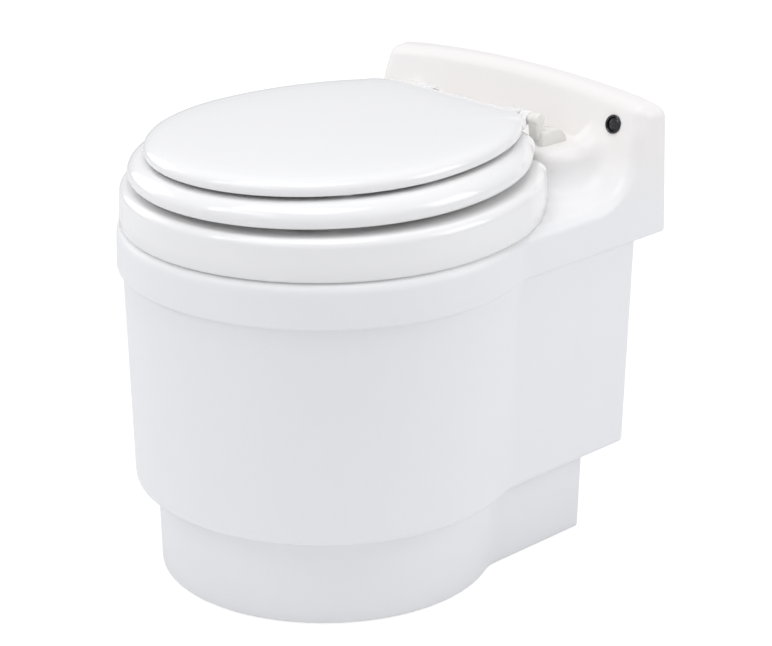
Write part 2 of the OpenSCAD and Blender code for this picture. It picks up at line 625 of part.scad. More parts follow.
// Film cartridge: an open tray with a cover, packed with pleated film
cartridge_z = gear_z + gear_face;
cartridge_top = cartridge_z + cartridge_h;
spigot_r = gear_bore - loose;
spigot_z = gear_z + past;
case_in = collar_r + 2;
case_wall = 2.5;
case_lid_t = 3;
cover_in = case_in + 5;
module cartridge_case() placed() color([0.90, 0.91, 0.92]) difference() {
    union() {
        translate([0, 0, cartridge_z]) cylinder(r = cartridge_r, h = cartridge_h - case_lid_t, $fn = 128);
        translate([0, 0, spigot_z]) cylinder(r = spigot_r, h = gear_face, $fn = 128);
    }
    translate([0, 0, gear_z]) cylinder(r = case_in, h = cartridge_h * 2, $fn = 128);
    tube(cartridge_r - case_wall, case_in + case_wall, cartridge_z + case_wall, cartridge_top, $fn = 128);
    tube(spigot_r - case_wall, case_in + case_wall, spigot_z + case_wall, cartridge_z + case_wall + past, $fn = 128);
}
module cartridge_cover() placed() color([0.84, 0.86, 0.88])
    tube(cartridge_r, cover_in, cartridge_top - case_lid_t, cartridge_top, $fn = 128);
pack_gap = 1;
module film_pack() placed() color([0.78, 0.79, 0.81])
    tube(spigot_r - case_wall - pack_gap, case_in + case_wall + pack_gap, spigot_z + case_wall, cartridge_top - 10,
        $fn = 128);

// Liner: the film drawn from the cartridge hangs as a funnel and is twisted shut below
liner_t = 1.2;
liner_lip = 8;
liner_knot_z = cradle_z - 76;
liner_profile = [[case_in - 1, cartridge_top], [case_in - 8, cartridge_top - 8], [case_in - 12, cartridge_top - 40],
    [82, cradle_z + 10], [66, cradle_z - 20], [40, cradle_z - 44], [16, cradle_z - 58], [7, cradle_z - 66]];
module film_liner() placed() color([0.87, 0.88, 0.90]) rotate_extrude($fn = 96) polygon(concat(
    [[0, liner_knot_z], [6, liner_knot_z + 2]],
    [for (i = [len(liner_profile) - 1:-1:1]) liner_profile[i]],
    [liner_profile[0], [cover_in + liner_lip, cartridge_top], [cover_in + liner_lip, cartridge_top + liner_t]],
    [for (i = [0:len(liner_profile) - 1]) liner_profile[i] + [-liner_t, liner_t]],
    [[0, cradle_z - 62]]));

// Blower on the service cover, with its suction duct from the bucket
housing_back = -34;
housing_front = housing_back - blower_depth;
housing_wall = 2.5;
lug_r = 5;
lug_t = 4;
blower_places = [for (s = [-1, 1]) for (t = [-1, 1]) [-blower_x + s * 48, duct_z + t * 32]];
module blower_housing() placed() color([0.30, 0.31, 0.33]) on_back() difference() {
    union() {
        along_y(blower_r + housing_wall, housing_front, housing_back, -blower_x, duct_z);
        for (p = blower_places) along_y(lug_r, housing_back - lug_t, housing_back, p.x, p.y);
        for (p = blower_places) let (inner = -blower_x + sign(p.x + blower_x) * 28)
            block([min(p.x, inner), housing_back - lug_t, p.y - lug_r], [max(p.x, inner), housing_back, p.y + lug_r]);
    }
    along_y(blower_r, housing_front - past, housing_back - housing_wall, -blower_x, duct_z);
    along_y(hub_r + 1, housing_front, housing_back + past, -blower_x, duct_z);
    for (p = blower_places) along_y(screw[0] + loose, housing_back - lug_t - past, housing_back + past, p.x, p.y);
    block([-blower_x - 14, housing_front + 8, duct_z + 20], [-blower_x + 14, housing_back - 8, duct_z + blower_r + 5]);
}
module blower_cover() placed() color([0.30, 0.31, 0.33]) on_back() difference() {
    union() {
        along_y(blower_r + housing_wall, housing_front - 2.5, housing_front, -blower_x, duct_z);
        along_y(duct_r + 3, housing_front - 12, housing_front, -blower_x, duct_z);
    }
    along_y(duct_r, housing_front - 13, housing_front + past, -blower_x, duct_z);
}
// A standoff from the service cover, with a stud and a snap head through the piece that it holds
snap_r = screw[0] + loose + 0.6;
module snap_post(r, len, held_t, p) {
    along_y(r, -len, 0, p.x, p.y);
    along_y(screw[0], -len - held_t - 2, -len, p.x, p.y);
    along_y(snap_r, -len - held_t - 2, -len - held_t, p.x, p.y);
}
module blower_posts() placed() color(steel) on_back() for (p = blower_places)
    snap_post(3, -housing_back, lug_t, p);
hub_r = 7;
blower_shaft_r = 2;
fan_back = housing_back - housing_wall - 3;
fan_front = housing_front + 4;
module impeller() placed() color([0.16, 0.16, 0.18]) on_back() translate([-blower_x, 0, duct_z]) difference() {
    union() {
        along_y(impeller_r, fan_back - 2, fan_back);
        along_y(hub_r, fan_front + 8, fan_back);
        for (i = [0:blades - 1]) rotate([0, 360 * i / blades, 0])
            translate([duct_r, 0, 0]) rotate([0, 35, 0]) block([0, fan_front, -0.8], [14, fan_back - past, 0.8]);
    }
    along_y(blower_shaft_r, fan_front, fan_back + past);
}
module blower_motor() placed() color(steel) on_back() translate([-blower_x, 0, duct_z]) difference() {
    union() {
        along_y(17, housing_back, -8);
        along_y(blower_shaft_r - pin_clear, fan_front + 10, housing_back + past);
    }
    for (x = [-8, 8]) along_y(1, -12, -7, x);
}
module suction_duct() placed() color([0.62, 0.63, 0.65]) difference() {
    on_back() along_y(duct_r + 3, -body_rear + 60, housing_front - 12, -blower_x, duct_z);
    on_back() along_y(duct_r, -body_rear, housing_front, -blower_x, duct_z);
    translate([0, 0, bucket_z]) cylinder(r = bucket_r + run_gap, h = bucket_h, $fn = 96);
}
module exhaust_duct() placed() color([0.62, 0.63, 0.65]) on_back() difference() {
    union() {
        block([-blower_x - 16, housing_front + 6, duct_z + blower_r + housing_wall + run_gap],
            [-blower_x + 16, housing_back - 6, vent_at.y + vent_h / 2]);
        block([-blower_x - 16, housing_back - 6, duct_z + blower_r + 8], [-blower_x + 16, -filter_t, vent_at.y + vent_h / 2]);
    }
    block([-blower_x - 14, housing_front + 8, duct_z + blower_r - past],
        [-blower_x + 14, housing_back - 8, vent_at.y + vent_h / 2 - 2]);
    block([-blower_x - 14, housing_back - 10, duct_z + blower_r + 10],
        [-blower_x + 14, -filter_t + past, vent_at.y + vent_h / 2 - 2]);
}

// Battery on its tray, held down by a strap
tray_t = 2;
tray_lip = 18;
battery_y = plinth_rear - wall - 8 - battery_d;
battery_z = base_top + tray_t;
module battery() placed() color([0.28, 0.29, 0.31])
    block([-battery_w / 2, battery_y, battery_z], [battery_w / 2, battery_y + battery_d, battery_z + battery_h]);
module battery_terminals() placed() color(steel) for (s = [-1, 1])
    block([s * (battery_w / 2 - 15) - 3, battery_y + 8, battery_z + battery_h],
        [s * (battery_w / 2 - 15) + 3, battery_y + 9, battery_z + battery_h + 7]);
module battery_tray() placed() color([0.75, 0.76, 0.78]) difference() {
    block([-battery_w / 2 - tray_t - loose, battery_y - tray_t - loose, base_top],
        [battery_w / 2 + tray_t + loose, battery_y + battery_d + tray_t + loose, base_top + tray_lip]);
    block([-battery_w / 2 - loose, battery_y - loose, battery_z],
        [battery_w / 2 + loose, battery_y + battery_d + loose, base_top + tray_lip + past]);
}
strap_w = 20;
strap_t = 1.5;
strap_front = battery_y - tray_t - loose;
strap_back = battery_y + battery_d + tray_t + loose;
strap_foot = 9;
strap_screw_y = strap_front - strap_t - strap_foot / 2;
module battery_strap() placed() color(dark) difference() {
    union() {
        block([-strap_w / 2, strap_front - strap_t, base_top], [strap_w / 2, strap_back + strap_t, battery_z + battery_h + strap_t]);
        block([-strap_w / 2, strap_front - strap_t - strap_foot, base_top], [strap_w / 2, strap_front, base_top + strap_t]);
        block([-strap_w / 2, strap_back, base_z + 1], [strap_w / 2, strap_back + strap_t, base_top + past]);
    }
    block([-strap_w, strap_front, base_top - past], [strap_w, strap_back, battery_z + battery_h]);
    translate([0, strap_screw_y, base_z]) cylinder(r = screw[0] + loose, h = base_top);
}

// Control board on standoffs
board_at = [62, 18];
board_w = 110;
board_h = 76;
standoff = 12;
board_places = [for (s = [-1, 1]) for (t = [-1, 1])
    [board_at.x + s * (board_w / 2 - 5), board_at.y + t * (board_h / 2 - 5)]];
board_t = 1.6;
module board_standoffs() placed() color(brass) on_back() for (p = board_places)
    snap_post(2.8, standoff, board_t, p);
module control_board() placed() color([0.10, 0.42, 0.25]) on_back() difference() {
    block([board_at.x - board_w / 2, board_face, board_at.y - board_h / 2],
        [board_at.x + board_w / 2, -standoff, board_at.y + board_h / 2]);
    for (p = board_places) along_y(screw[0] + loose, board_face - past, -standoff + past, p.x, p.y);
}
board_face = -standoff - board_t;
module board_parts() placed() color([0.2, 0.25, 0.5]) on_back() {
    for (i = [0, 1]) block([board_at.x - 45 + i * 24, board_face - 16, board_at.y + 8],
        [board_at.x - 26 + i * 24, board_face, board_at.y + 24]);
    for (i = [0:2]) along_y(5, board_face - 14, board_face, board_at.x + 12 + i * 13, board_at.y + 18);
    block([board_at.x - 8, board_face - 3, board_at.y - 14], [board_at.x + 10, board_face, board_at.y + 0]);
    for (i = [0:2]) block([board_at.x - 46 + i * 32, board_face - plug_d, plug_low],
        [board_at.x - 26 + i * 32, board_face, board_at.y - 26]);
}

// Wires, held along their whole route
wire_r = 1.8;
wire_sides = 8;
wire_y = body_rear - 31;
function unit(v) = v / norm(v);
function tangent(p, i) = unit(p[min(i + 1, len(p) - 1)] - p[max(i - 1, 0)]);
function side(p, i) = let (t = tangent(p, i), u = i == 0 ? cross(t, [0.3, 0.2, 0.93]) : side(p, i - 1)) unit(u - (u * t) * t);
module run(p) loft([for (i = [0:len(p) - 1]) let (u = side(p, i), v = cross(tangent(p, i), u))
    [for (k = [0:wire_sides - 1]) p[i] + wire_r * (cos(45 * k) * u + sin(45 * k) * v)]]);
// A point of the frame on the back wall
function back_point(x, y, z) = [x, body_rear_at(service_z) + y * cos(draft) + z * sin(draft),
    service_z - y * sin(draft) + z * cos(draft)];
plug_d = 10;
plug_low = board_at.y - 34;
function plug_end(x) = [back_point(x, board_face - plug_d / 2, plug_low - 14), back_point(x, board_face - plug_d / 2, plug_low - 0.2)];
terminal_x = battery_w / 2 - 15;
terminal_top = battery_z + battery_h + 7;
motor_low = cradle_z - cradle_t - gearbox_len - motor_len - 7;
switch_len = 26;
tab_end = on_panel_point(switch_len + 8.2, -4);
function on_panel_point(y, z) = [button_x, face_y(button_z) + y * cos(panel_lean) + z * sin(panel_lean),
    button_z - y * sin(panel_lean) + z * cos(panel_lean)];
module wire_harness() placed() color([0.75, 0.12, 0.10]) {
    for (s = [-1, 1]) run(concat([[s * terminal_x, battery_y + 8.5, terminal_top + 0.2],
        [s * terminal_x, battery_y + 14, terminal_top + 10], [26 + 5 * s, wire_y, 146]], plug_end(26 + 5 * s)));
    run(concat([[8, motor_y, motor_low - 0.2], [12, motor_y + 6, motor_low - 10], [52, wire_y - 5, motor_low - 8]], plug_end(52)));
    run(concat([back_point(-blower_x + 17.2, -14, duct_z), back_point(-60, -14, 0), back_point(-30, -14, -20),
        back_point(10, -15, -30), back_point(54, -17, -34)], plug_end(62)));
    run(concat([back_point(inlet_at.x, cover_t - inlet_len - 4.2, inlet_at.y), back_point(inlet_at.x, -30, inlet_at.y + 4),
        back_point(100, -30, -38)], plug_end(96)));
    run(concat([back_point(fuse_at.x, cover_t - fuse_len - 0.2, fuse_at.y), back_point(fuse_at.x, -36, inlet_at.y + 4),
        back_point(84, -32, -38)], plug_end(84)));
    run([plug_end(90)[1], plug_end(90)[0], back_point(104, -34, -36), back_point(128, -34, -16), back_point(132, -30, 60),
        back_point(140, -28, 130), [button_x - 10, band_rear - 42, deck_z + 4], [button_x, tab_end.y + 1, tab_end.z - 16], tab_end]);
}

// Flush button in the back panel
bezel_h = 2;
bezel_wall = 1.4;
thread_r = cap_r + bezel_wall;
module button_bezel() placed() color(dark) on_panel(button_z) difference() {
    union() {
        along_y(bezel_r, -bezel_h, 0, button_x);
        along_y(thread_r, -past, switch_len - 12, button_x);
    }
    along_y(cap_r + 0.1, -bezel_h - past, switch_len, button_x);
    translate([button_x, -bezel_h - 0.01, 0]) rotate([-90, 0, 0])
        cylinder(r1 = bezel_r - 1.2, r2 = cap_r + 0.1, h = 1.6);
}
module button_cap() placed() color(dark) on_panel(button_z) intersection() {
    along_y(cap_r, -bezel_h - 2, 10, button_x);
    translate([button_x, 18 - bezel_h + 0.6, 0]) rotate([-90, 0, 0]) sphere(r = 18);
}
module button_switch() placed() color([0.2, 0.2, 0.22]) on_panel(button_z) {
    along_y(thread_r, switch_len - 12, switch_len, button_x);
    along_y(cap_r - 1, 10 + cap_travel + run_gap, switch_len, button_x);
    for (z = [-4, 4]) block([button_x - 1, switch_len, z - 0.4], [button_x + 1, switch_len + 8, z + 0.4]);
}
module button_nut() placed() color(steel) on_panel(button_z) difference() {
    along_y(thread_r + 2.4, wall + run_gap, wall + run_gap + 4, button_x, $fn = 6);
    along_y(thread_r, 0, 3 * wall, button_x);
}

// Bowl ring on the deck, with its seal
ring_back = 247;
ring_cut = shelf_front - 3;
ring_corner = 10;
ring_wall = 3.5;
ring_low = deck_z + seal_t;
function ring_level(z, e) = at_height(mirrored(half_egg(ring_half_w, ring_front, ring_back, ring_cut, e, ring_corner)), z);
module bowl_ring() placed() color(white) difference() {
    loft(concat([ring_level(ring_low, 0)], [for (i = [0:corner_steps]) let (t = 90 * i / corner_steps)
        ring_level(ring_z - ring_edge_r * (1 - sin(t)), 1.5 + ring_edge_r * (1 - cos(t)))]));
    difference() {
        loft([ring_level(ring_low - past, ring_wall), ring_level(ring_z - ring_edge_r, ring_wall + 1),
            ring_level(ring_z - ring_wall, ring_wall + ring_edge_r)]);
        translate([0, 0, ring_low - 2 * past]) cylinder(r = mouth_r + ring_wall, h = ring_z, $fn = 128);
    }
    translate([0, 0, ring_low - past]) cylinder(r = mouth_r, h = ring_z, $fn = 128);
}
module ring_seal() placed() color([0.75, 0.75, 0.76]) translate([0, 0, deck_z]) linear_extrude(seal_t) difference() {
    polygon([for (p = ring_level(0, 0.8)) [p.x, p.y]]);
    polygon([for (p = ring_level(0, ring_wall)) [p.x, p.y]]);
}

// Seat and lid
seat_back = 234;
lid_back = 234;
seat_top = seat_z + seat_t;
seat_corner = 22;
function seat_level(z, e) = at_height(mirrored(half_egg(seat_half_w, seat_front, seat_back, seat_rear, e, seat_corner)), z);
module seat_opening() hull() for (s = [-1, 1])
    translate([0, s * (seat_hole_l / 2 - seat_hole_w) - 4, seat_z - past])
        cylinder(r = seat_hole_w, h = seat_t + 2 * past, $fn = 64);
knuckle_x = hinge_out - post_len - knuckle_gap;
module knuckle(x1, len) translate([x1 - len, hinge_y, hinge_z]) rotate([0, 90, 0]) cylinder(r = barrel_r, h = len);
module pin_hole(x1, len) translate([x1 - len - past, hinge_y, hinge_z]) rotate([0, 90, 0])
    cylinder(r = pin_r + pin_clear, h = len + 2 * past);
module seat() placed() color(white) difference() {
    union() {
        difference() {
            loft([seat_level(seat_z, 6), seat_level(seat_z + 2, 2), seat_level(seat_z + 6, 0),
                seat_level(seat_z + 13, 0.4), seat_level(seat_z + 18, 3), seat_level(seat_z + 22, 9),
                seat_level(seat_top, 20)]);
            seat_opening();
        }
        both() knuckle(knuckle_x, seat_knuckle);
        both() block([knuckle_x - seat_knuckle, seat_rear - 22, hinge_z - 9],
            [knuckle_x, hinge_y, seat_top + 1]);
    }
    both() pin_hole(knuckle_x, seat_knuckle);
}

seat_bumper_places = [for (a = [-140, -40, 35, 145]) let (r = 158) [r * cos(a), r * sin(a)]];
module seat_bumpers() placed() color([0.9, 0.9, 0.88]) for (p = seat_bumper_places)
    translate([p.x, p.y, ring_z + run_gap]) cylinder(r = 9, h = seat_z - ring_z - run_gap);

lid_z = seat_top + lid_gap;
lid_top = lid_z + lid_t;
lid_knuckle_x = knuckle_x - seat_knuckle - knuckle_gap;
function lid_level(z, e) = at_height(mirrored(half_egg(lid_half_w, lid_front, lid_back, lid_rear, e, seat_corner)), z);
module lid() placed() color(white) difference() {
    union() {
        difference() {
            loft([lid_level(lid_z, 3), lid_level(lid_z + 2, 0.6), lid_level(lid_z + 6, 0), lid_level(lid_z + 11, 1.5),
                lid_level(lid_z + 15, 6), lid_level(lid_z + 17, 14), lid_level(lid_top, 34), lid_level(lid_top + 1.2, 90)]);
            loft([lid_level(lid_z - past, lid_wall + 2), lid_level(lid_z + 8, lid_wall + 2),
                lid_level(lid_z + 12, lid_wall + 9), lid_level(lid_top - lid_wall, lid_wall + 30)]);
        }
        both() knuckle(lid_knuckle_x, lid_knuckle);
        both() block([lid_knuckle_x - lid_knuckle, lid_rear - 14, lid_z + 1], [lid_knuckle_x, lid_rear - 4, lid_z + 12]);
        both() hull() {
            translate([lid_knuckle_x - lid_knuckle, hinge_y, hinge_z]) rotate([0, 90, 0])
                cylinder(r = barrel_r, h = lid_knuckle, $fn = 32);
            block([lid_knuckle_x - lid_knuckle, lid_rear - 8, lid_z + 2], [lid_knuckle_x, lid_rear - 4, lid_z + 12]);
        }
    }
    both() pin_hole(lid_knuckle_x, lid_knuckle);
}
// Bumpers stand just inside the lid's rim, on stems from its roof
bumper_in = 18;
bumper_r = 8;
stem_r = 4;
function lid_edge(a) = 1 / norm([cos(a) / lid_half_w, sin(a) / lid_front]);
lid_bumper_places = [for (a = [-36, -2]) (lid_edge(a) - bumper_in) * [cos(a), sin(a)]];
module lid_bumpers() placed() color([0.95, 0.95, 0.95]) both() for (p = lid_bumper_places)
    translate([p.x, p.y, seat_top + run_gap]) {
        cylinder(r = bumper_r, h = lid_z + 9 - seat_top - run_gap);
        cylinder(r = stem_r, h = lid_z + 12 - seat_top - run_gap);
    }

// Hinge hardware
foot_y0 = hinge_y - 2;
foot_y1 = hinge_y + 36;
foot_x1 = hinge_out + 5;
bolt_x = hinge_out - post_len / 2 + 2;
bolt_y = hinge_y + 21;
bolt_r = 3;
post_top = hinge_z - barrel_r + 1;
module hinge_posts() placed() color(ivory) both() difference() {
    union() {
        translate([hinge_out - post_len, hinge_y, hinge_z]) rotate([0, 90, 0]) cylinder(r = barrel_r, h = post_len);
        translate([hinge_out - post_len, 0, 0]) rotate([90, 0, 90]) linear_extrude(foot_x1 - hinge_out + post_len)
            polygon([[foot_y0, shelf_z], [foot_y1, shelf_z], [foot_y1, shelf_z + 6], [foot_y1 - 12, shelf_z + 14.5],
                [foot_y0 - 1, shelf_z + 15.5]]);
        block([hinge_out - post_len, hinge_y - 6, shelf_z + 10], [hinge_out, hinge_y + 4, hinge_z]);
    }
    translate([hinge_out - post_len - past, hinge_y, hinge_z]) rotate([0, 90, 0]) cylinder(r = pin_r, h = post_len - 1);
    translate([bolt_x, bolt_y, shelf_z - past]) cylinder(r = bolt_r + loose, h = 40);
    translate([bolt_x, bolt_y, shelf_z + 6]) cylinder(r = bolt_r + 2.4, h = 40);
}
module hinge_pins() placed() color(steel) both()
    translate([lid_knuckle_x - lid_knuckle - 1, hinge_y, hinge_z]) rotate([0, 90, 0])
        cylinder(r = pin_r, h = hinge_out - 2 - lid_knuckle_x + lid_knuckle + 1);
module hinge_bolts() placed() color(steel) both() translate([bolt_x, bolt_y, 0]) {
    translate([0, 0, shelf_z - 24]) cylinder(r = bolt_r, h = 31);
    translate([0, 0, shelf_z + 6]) cylinder(r = bolt_r + 2, h = 3);
}
module hinge_nuts() placed() color([0.3, 0.3, 0.32]) both() translate([bolt_x, bolt_y, shelf_z - wall - 8]) difference() {
    cylinder(r = 8, h = 8, $fn = 6);
    translate([0, 0, -past]) cylinder(r = bolt_r, h = 10);
}
module hinge_caps() placed() color(ivory) both() translate([bolt_x, bolt_y, shelf_z + 9])
    cylinder(r = bolt_r + 2.2, h = 2);

outer_shell();
base_plate();
rubber_feet();
base_screws();
service_cover();
cover_screws();
vent_grille();
carbon_filter();
power_inlet();
inlet_contact();
fuse_holder();
fuse_cap();
waste_bucket();
bucket_seal();
cradle_plate();
cradle_posts();
frame_screws();
glide_pads();
turntable();
ring_gear();
gear_screws();
drive_pinion();
motor_shaft();
gearbox();
drive_motor();
motor_screws();
cartridge_case();
cartridge_cover();
film_pack();
film_liner();
blower_housing();
blower_cover();
blower_posts();
impeller();
blower_motor();
suction_duct();
exhaust_duct();
battery();
battery_terminals();
battery_tray();
battery_strap();
control_board();
board_standoffs();
board_parts();
wire_harness();
button_cap();
button_bezel();
button_switch();
button_nut();
bowl_ring();
ring_seal();
seat();
seat_bumpers();
lid();
lid_bumpers();
hinge_posts();
hinge_pins();
hinge_bolts();
hinge_nuts();
hinge_caps();
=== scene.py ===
"""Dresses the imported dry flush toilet: smooth mouldings, hinges, button, film and plain studio light."""

import json
import math

import bmesh
import bpy
import numpy as np
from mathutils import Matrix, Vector


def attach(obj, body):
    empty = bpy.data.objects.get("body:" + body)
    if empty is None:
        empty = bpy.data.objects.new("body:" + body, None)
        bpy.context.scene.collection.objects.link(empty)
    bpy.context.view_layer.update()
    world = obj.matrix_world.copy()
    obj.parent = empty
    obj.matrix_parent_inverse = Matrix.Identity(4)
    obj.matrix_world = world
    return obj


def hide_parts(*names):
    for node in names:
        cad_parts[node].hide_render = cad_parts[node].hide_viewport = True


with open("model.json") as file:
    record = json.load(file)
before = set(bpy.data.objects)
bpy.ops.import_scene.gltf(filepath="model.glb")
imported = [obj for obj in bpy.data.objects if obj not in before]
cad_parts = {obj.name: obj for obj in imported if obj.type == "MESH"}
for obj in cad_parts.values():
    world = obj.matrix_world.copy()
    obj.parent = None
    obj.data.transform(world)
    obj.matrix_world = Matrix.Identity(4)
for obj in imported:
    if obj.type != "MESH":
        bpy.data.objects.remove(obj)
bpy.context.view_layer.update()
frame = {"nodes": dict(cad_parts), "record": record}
MM = 0.001

# Driving sizes, in millimetres, with the bowl's axis at x = 0, y = 0
BOWL_Y = -51.5
OVERALL_H = 483.0
# Shell outlines: front radius, half the rear's width, reach of the rear
BAND = (213.0, 192.0, 316.0)
BODY = (201.0, 181.5, 270.0)
PLINTH = (176.0, 152.0, 235.0)
BAND_Z, DECK_Z, BODY_Z, PLINTH_GAP = 331.0, 378.0, 99.0, 2.0
SHOULDER_R, BAND_EDGE_R, BODY_EDGE_R = 12.0, 3.0, 6.0
WAIST_R, CORNER_R, WALL = 48.0, 6.0, 4.0
DRAFT = math.tan(math.radians(1.5))
LEAN = math.radians(15)
PANEL_FOOT, COVE_R, PANEL_ARCH = 252.0, 60.0, 12.0
PANEL_TOP_R, PANEL_CORNER_R, PANEL_TAPER = 11.0, 16.0, 0.03
SHELF_Z, SHELF_HALF_W, SHELF_FRONT = 424.5, 136.0, 204.0
SHELF_EDGE_R, SHELF_PLAN_R = 12.0, 32.0
SHELF_FOOT_R, SHELF_REAR_R = 26.0, 4.0
DECK_HOLE_R = 158.0
BUTTON_X, BUTTON_Z = 152.0, 449.0
BEZEL_R, CAP_R, THREAD_R = 10.0, 7.2, 8.6
SERVICE_Z, SERVICE_HALF, HATCH_FRONT = 212.0, (148.0, 78.0), 250.0
SEAT_Z, SEAT_T, LID_GAP, LID_T, LID_WALL = 426.0, 24.0, 3.5, 16.0, 4.0
SEAT_TOP = SEAT_Z + SEAT_T
LID_Z = SEAT_TOP + LID_GAP
# Ring, seat and lid outlines: half the width, front reach, reach of the uncut rear
RING = (208.0, 210.0, 247.0)
SEAT = (192.0, 204.0, 234.0)
LID = (170.0, 190.0, 234.0)
SEAT_REAR, LID_REAR = 206.0, 197.0
RING_CORNER, SEAT_CORNER = 10.0, 22.0
RING_LOW, RING_Z, RING_EDGE_R, MOUTH_R, RING_WALL = 379.5, 419.0, 9.0, 112.0, 3.5
HINGE_Y, HINGE_Z, BARREL_R, HINGE_OUT = 220.0, 452.0, 7.0, 97.0
POST_LEN, SEAT_KNUCKLE, LID_KNUCKLE, KNUCKLE_GAP = 14.0, 12.0, 15.0, 0.5
CARTRIDGE_TOP = 352.3


def link(name, verts, faces, crease=40):
    """A new smooth object from points in bowl-centred millimetres, with creases at its real edges."""
    me = bpy.data.meshes.new(name)
    pts = (np.asarray(verts, float) + (0, BOWL_Y, 0)) * MM
    me.from_pydata(pts.tolist(), [], [tuple(int(i) for i in f) for f in faces])
    ob = bpy.data.objects.new(name, me)
    bpy.context.scene.collection.objects.link(ob)
    bm = bmesh.new()
    bm.from_mesh(me)
    bmesh.ops.recalc_face_normals(bm, faces=bm.faces)
    for f in bm.faces:
        f.smooth = True
    for e in bm.edges:
        e.smooth = e.calc_face_angle(0) < math.radians(crease)
    bm.to_mesh(me)
    bm.free()
    return ob


def apply_modifiers(ob):
    """Bakes the object's modifiers into its mesh."""
    dg = bpy.context.evaluated_depsgraph_get()
    me = bpy.data.meshes.new_from_object(ob.evaluated_get(dg))
    ob.modifiers.clear()
    ob.data = me


# Outlines seen from above


def arc(cx, cy, r, a0, a1, n):
    t = np.radians(np.linspace(a0, a1, n + 1))
    return np.stack([cx + r * np.cos(t), cy + r * np.sin(t)], 1)


def mirror(half):
    """A closed outline from its right half, which starts and ends on the middle line."""
    left = half[-2:0:-1] * (-1, 1)
    return np.concatenate([half, left])


def shell_outline(size):
    """A round front, a hollow waist and a squared rear."""
    r, w, rear = size
    f = WAIST_R
    yc = math.sqrt((r + f) ** 2 - (w + f) ** 2)
    a = math.degrees(math.atan2(yc, w + f))
    half = np.concatenate([
        arc(0, 0, r, -90, a, 40),
        arc(w + f, yc, f, 180 + a, 180, 12)[1:],
        arc(w - CORNER_R, rear - CORNER_R, CORNER_R, 0, 90, 8),
        [[0, rear]],
    ])
    return mirror(half)


def egg(size, cut, e, corner, steps=56, corner_steps=10):
    """A round front and a longer rear that is cut off straight, drawn in by e."""
    w, front, back = size
    a, f, b, y = w - e, front - e, back - e, cut - e
    x = a * math.sqrt(max(0.0, 1 - (y / b) ** 2))
    stop = math.degrees(math.asin((y - corner) / b))
    t = np.radians(np.linspace(-90, stop, steps + 1))
    sides = np.stack([a * np.cos(t), np.where(t < 0, f, b) * np.sin(t)], 1)
    q = np.radians(np.linspace(0, 90, corner_steps + 1)[1:])
    x0 = a * math.cos(math.radians(stop))
    turn = np.stack([x0 - (x0 - x + corner * 1.2) * (1 - np.cos(q)), y - corner + corner * np.sin(q)], 1)
    return mirror(np.concatenate([sides, turn, [[0, y]]]))


def ring_faces(levels, count, closed=False):
    """Quads between rings of points; closed joins the last ring to the first."""
    faces = []
    for k in range(levels if closed else levels - 1):
        a, b = k * count, ((k + 1) % levels) * count
        for i in range(count):
            j = (i + 1) % count
            faces.append((a + i, a + j, b + j, b + i))
    return faces


def stack(name, rings, cap=True):
    """A closed skin through rings of 3-D points from the underside outwards, up and over."""
    n = len(rings[0])
    faces = ring_faces(len(rings), n, closed=not cap)
    verts = np.concatenate(rings)
    if cap:
        low, high = len(verts), len(verts) + 1
        verts = np.concatenate([verts, [rings[0].mean(0)], [rings[-1].mean(0)]])
        last = (len(rings) - 1) * n
        for i in range(n):
            j = (i + 1) % n
            faces.append((low, j, i))
            faces.append((high, last + i, last + j))
    return link(name, verts, faces)


def at(outline, z):
    return np.column_stack([outline, np.full(len(outline), float(z))])


# The shell as a distance field, meshed on a grid


def outline_field(size, xs, ys):
    """Signed distance to the closed outline on a plane grid, negative inside."""
    p = shell_outline(size)
    q = np.roll(p, -1, 0)
    X, Y = np.meshgrid(xs, ys, indexing="ij")
    best = np.full(X.shape, 1e9)
    inside = np.zeros(X.shape, bool)
    for (ax, ay), (bx, by) in zip(p, q):
        dx, dy = bx - ax, by - ay
        size2 = dx * dx + dy * dy
        if size2 < 1e-9:
            continue
        t = np.clip(((X - ax) * dx + (Y - ay) * dy) / size2, 0, 1)
        best = np.minimum(best, (X - ax - t * dx) ** 2 + (Y - ay - t * dy) ** 2)
        if ay != by:
            inside ^= ((ay > Y) != (by > Y)) & (X < ax + (Y - ay) * dx / dy)
    return np.where(inside, -1, 1) * np.sqrt(best)


def meet(a, b, r):
    """Intersection of two solids with a rounded edge."""
    return np.minimum(-r, np.maximum(a, b)) + np.hypot(np.maximum(a + r, 0), np.maximum(b + r, 0))


def join(a, b, r):
    """Union of two solids with a hollow fillet."""
    return np.maximum(r, np.minimum(a, b)) - np.hypot(np.maximum(r - a, 0), np.maximum(r - b, 0))


def step(v, low, high):
    t = np.clip((v - low) / (high - low), 0, 1)
    return t * t * (3 - 2 * t)


TABLE_STEP = 2.0
TABLE_X = np.arange(-232, 233, TABLE_STEP)
TABLE_Y = np.arange(-232, 353, TABLE_STEP)
FIELDS = [outline_field(s, TABLE_X, TABLE_Y) for s in (PLINTH, BODY, BAND)]


def look_up(table, x, y):
    """Bilinear reading of a plane table."""
    u = np.clip((x - TABLE_X[0]) / TABLE_STEP, 0, len(TABLE_X) - 1.001)
    v = np.clip((y - TABLE_Y[0]) / TABLE_STEP, 0, len(TABLE_Y) - 1.001)
    i, j = u.astype(int), v.astype(int)
    u, v = u - i, v - j
    return ((table[i, j] * (1 - u) + table[i + 1, j] * u) * (1 - v)
            + (table[i, j + 1] * (1 - u) + table[i + 1, j + 1] * u) * v)


def face_y(z):
    return PANEL_FOOT + (z - DECK_Z) * math.tan(LEAN)


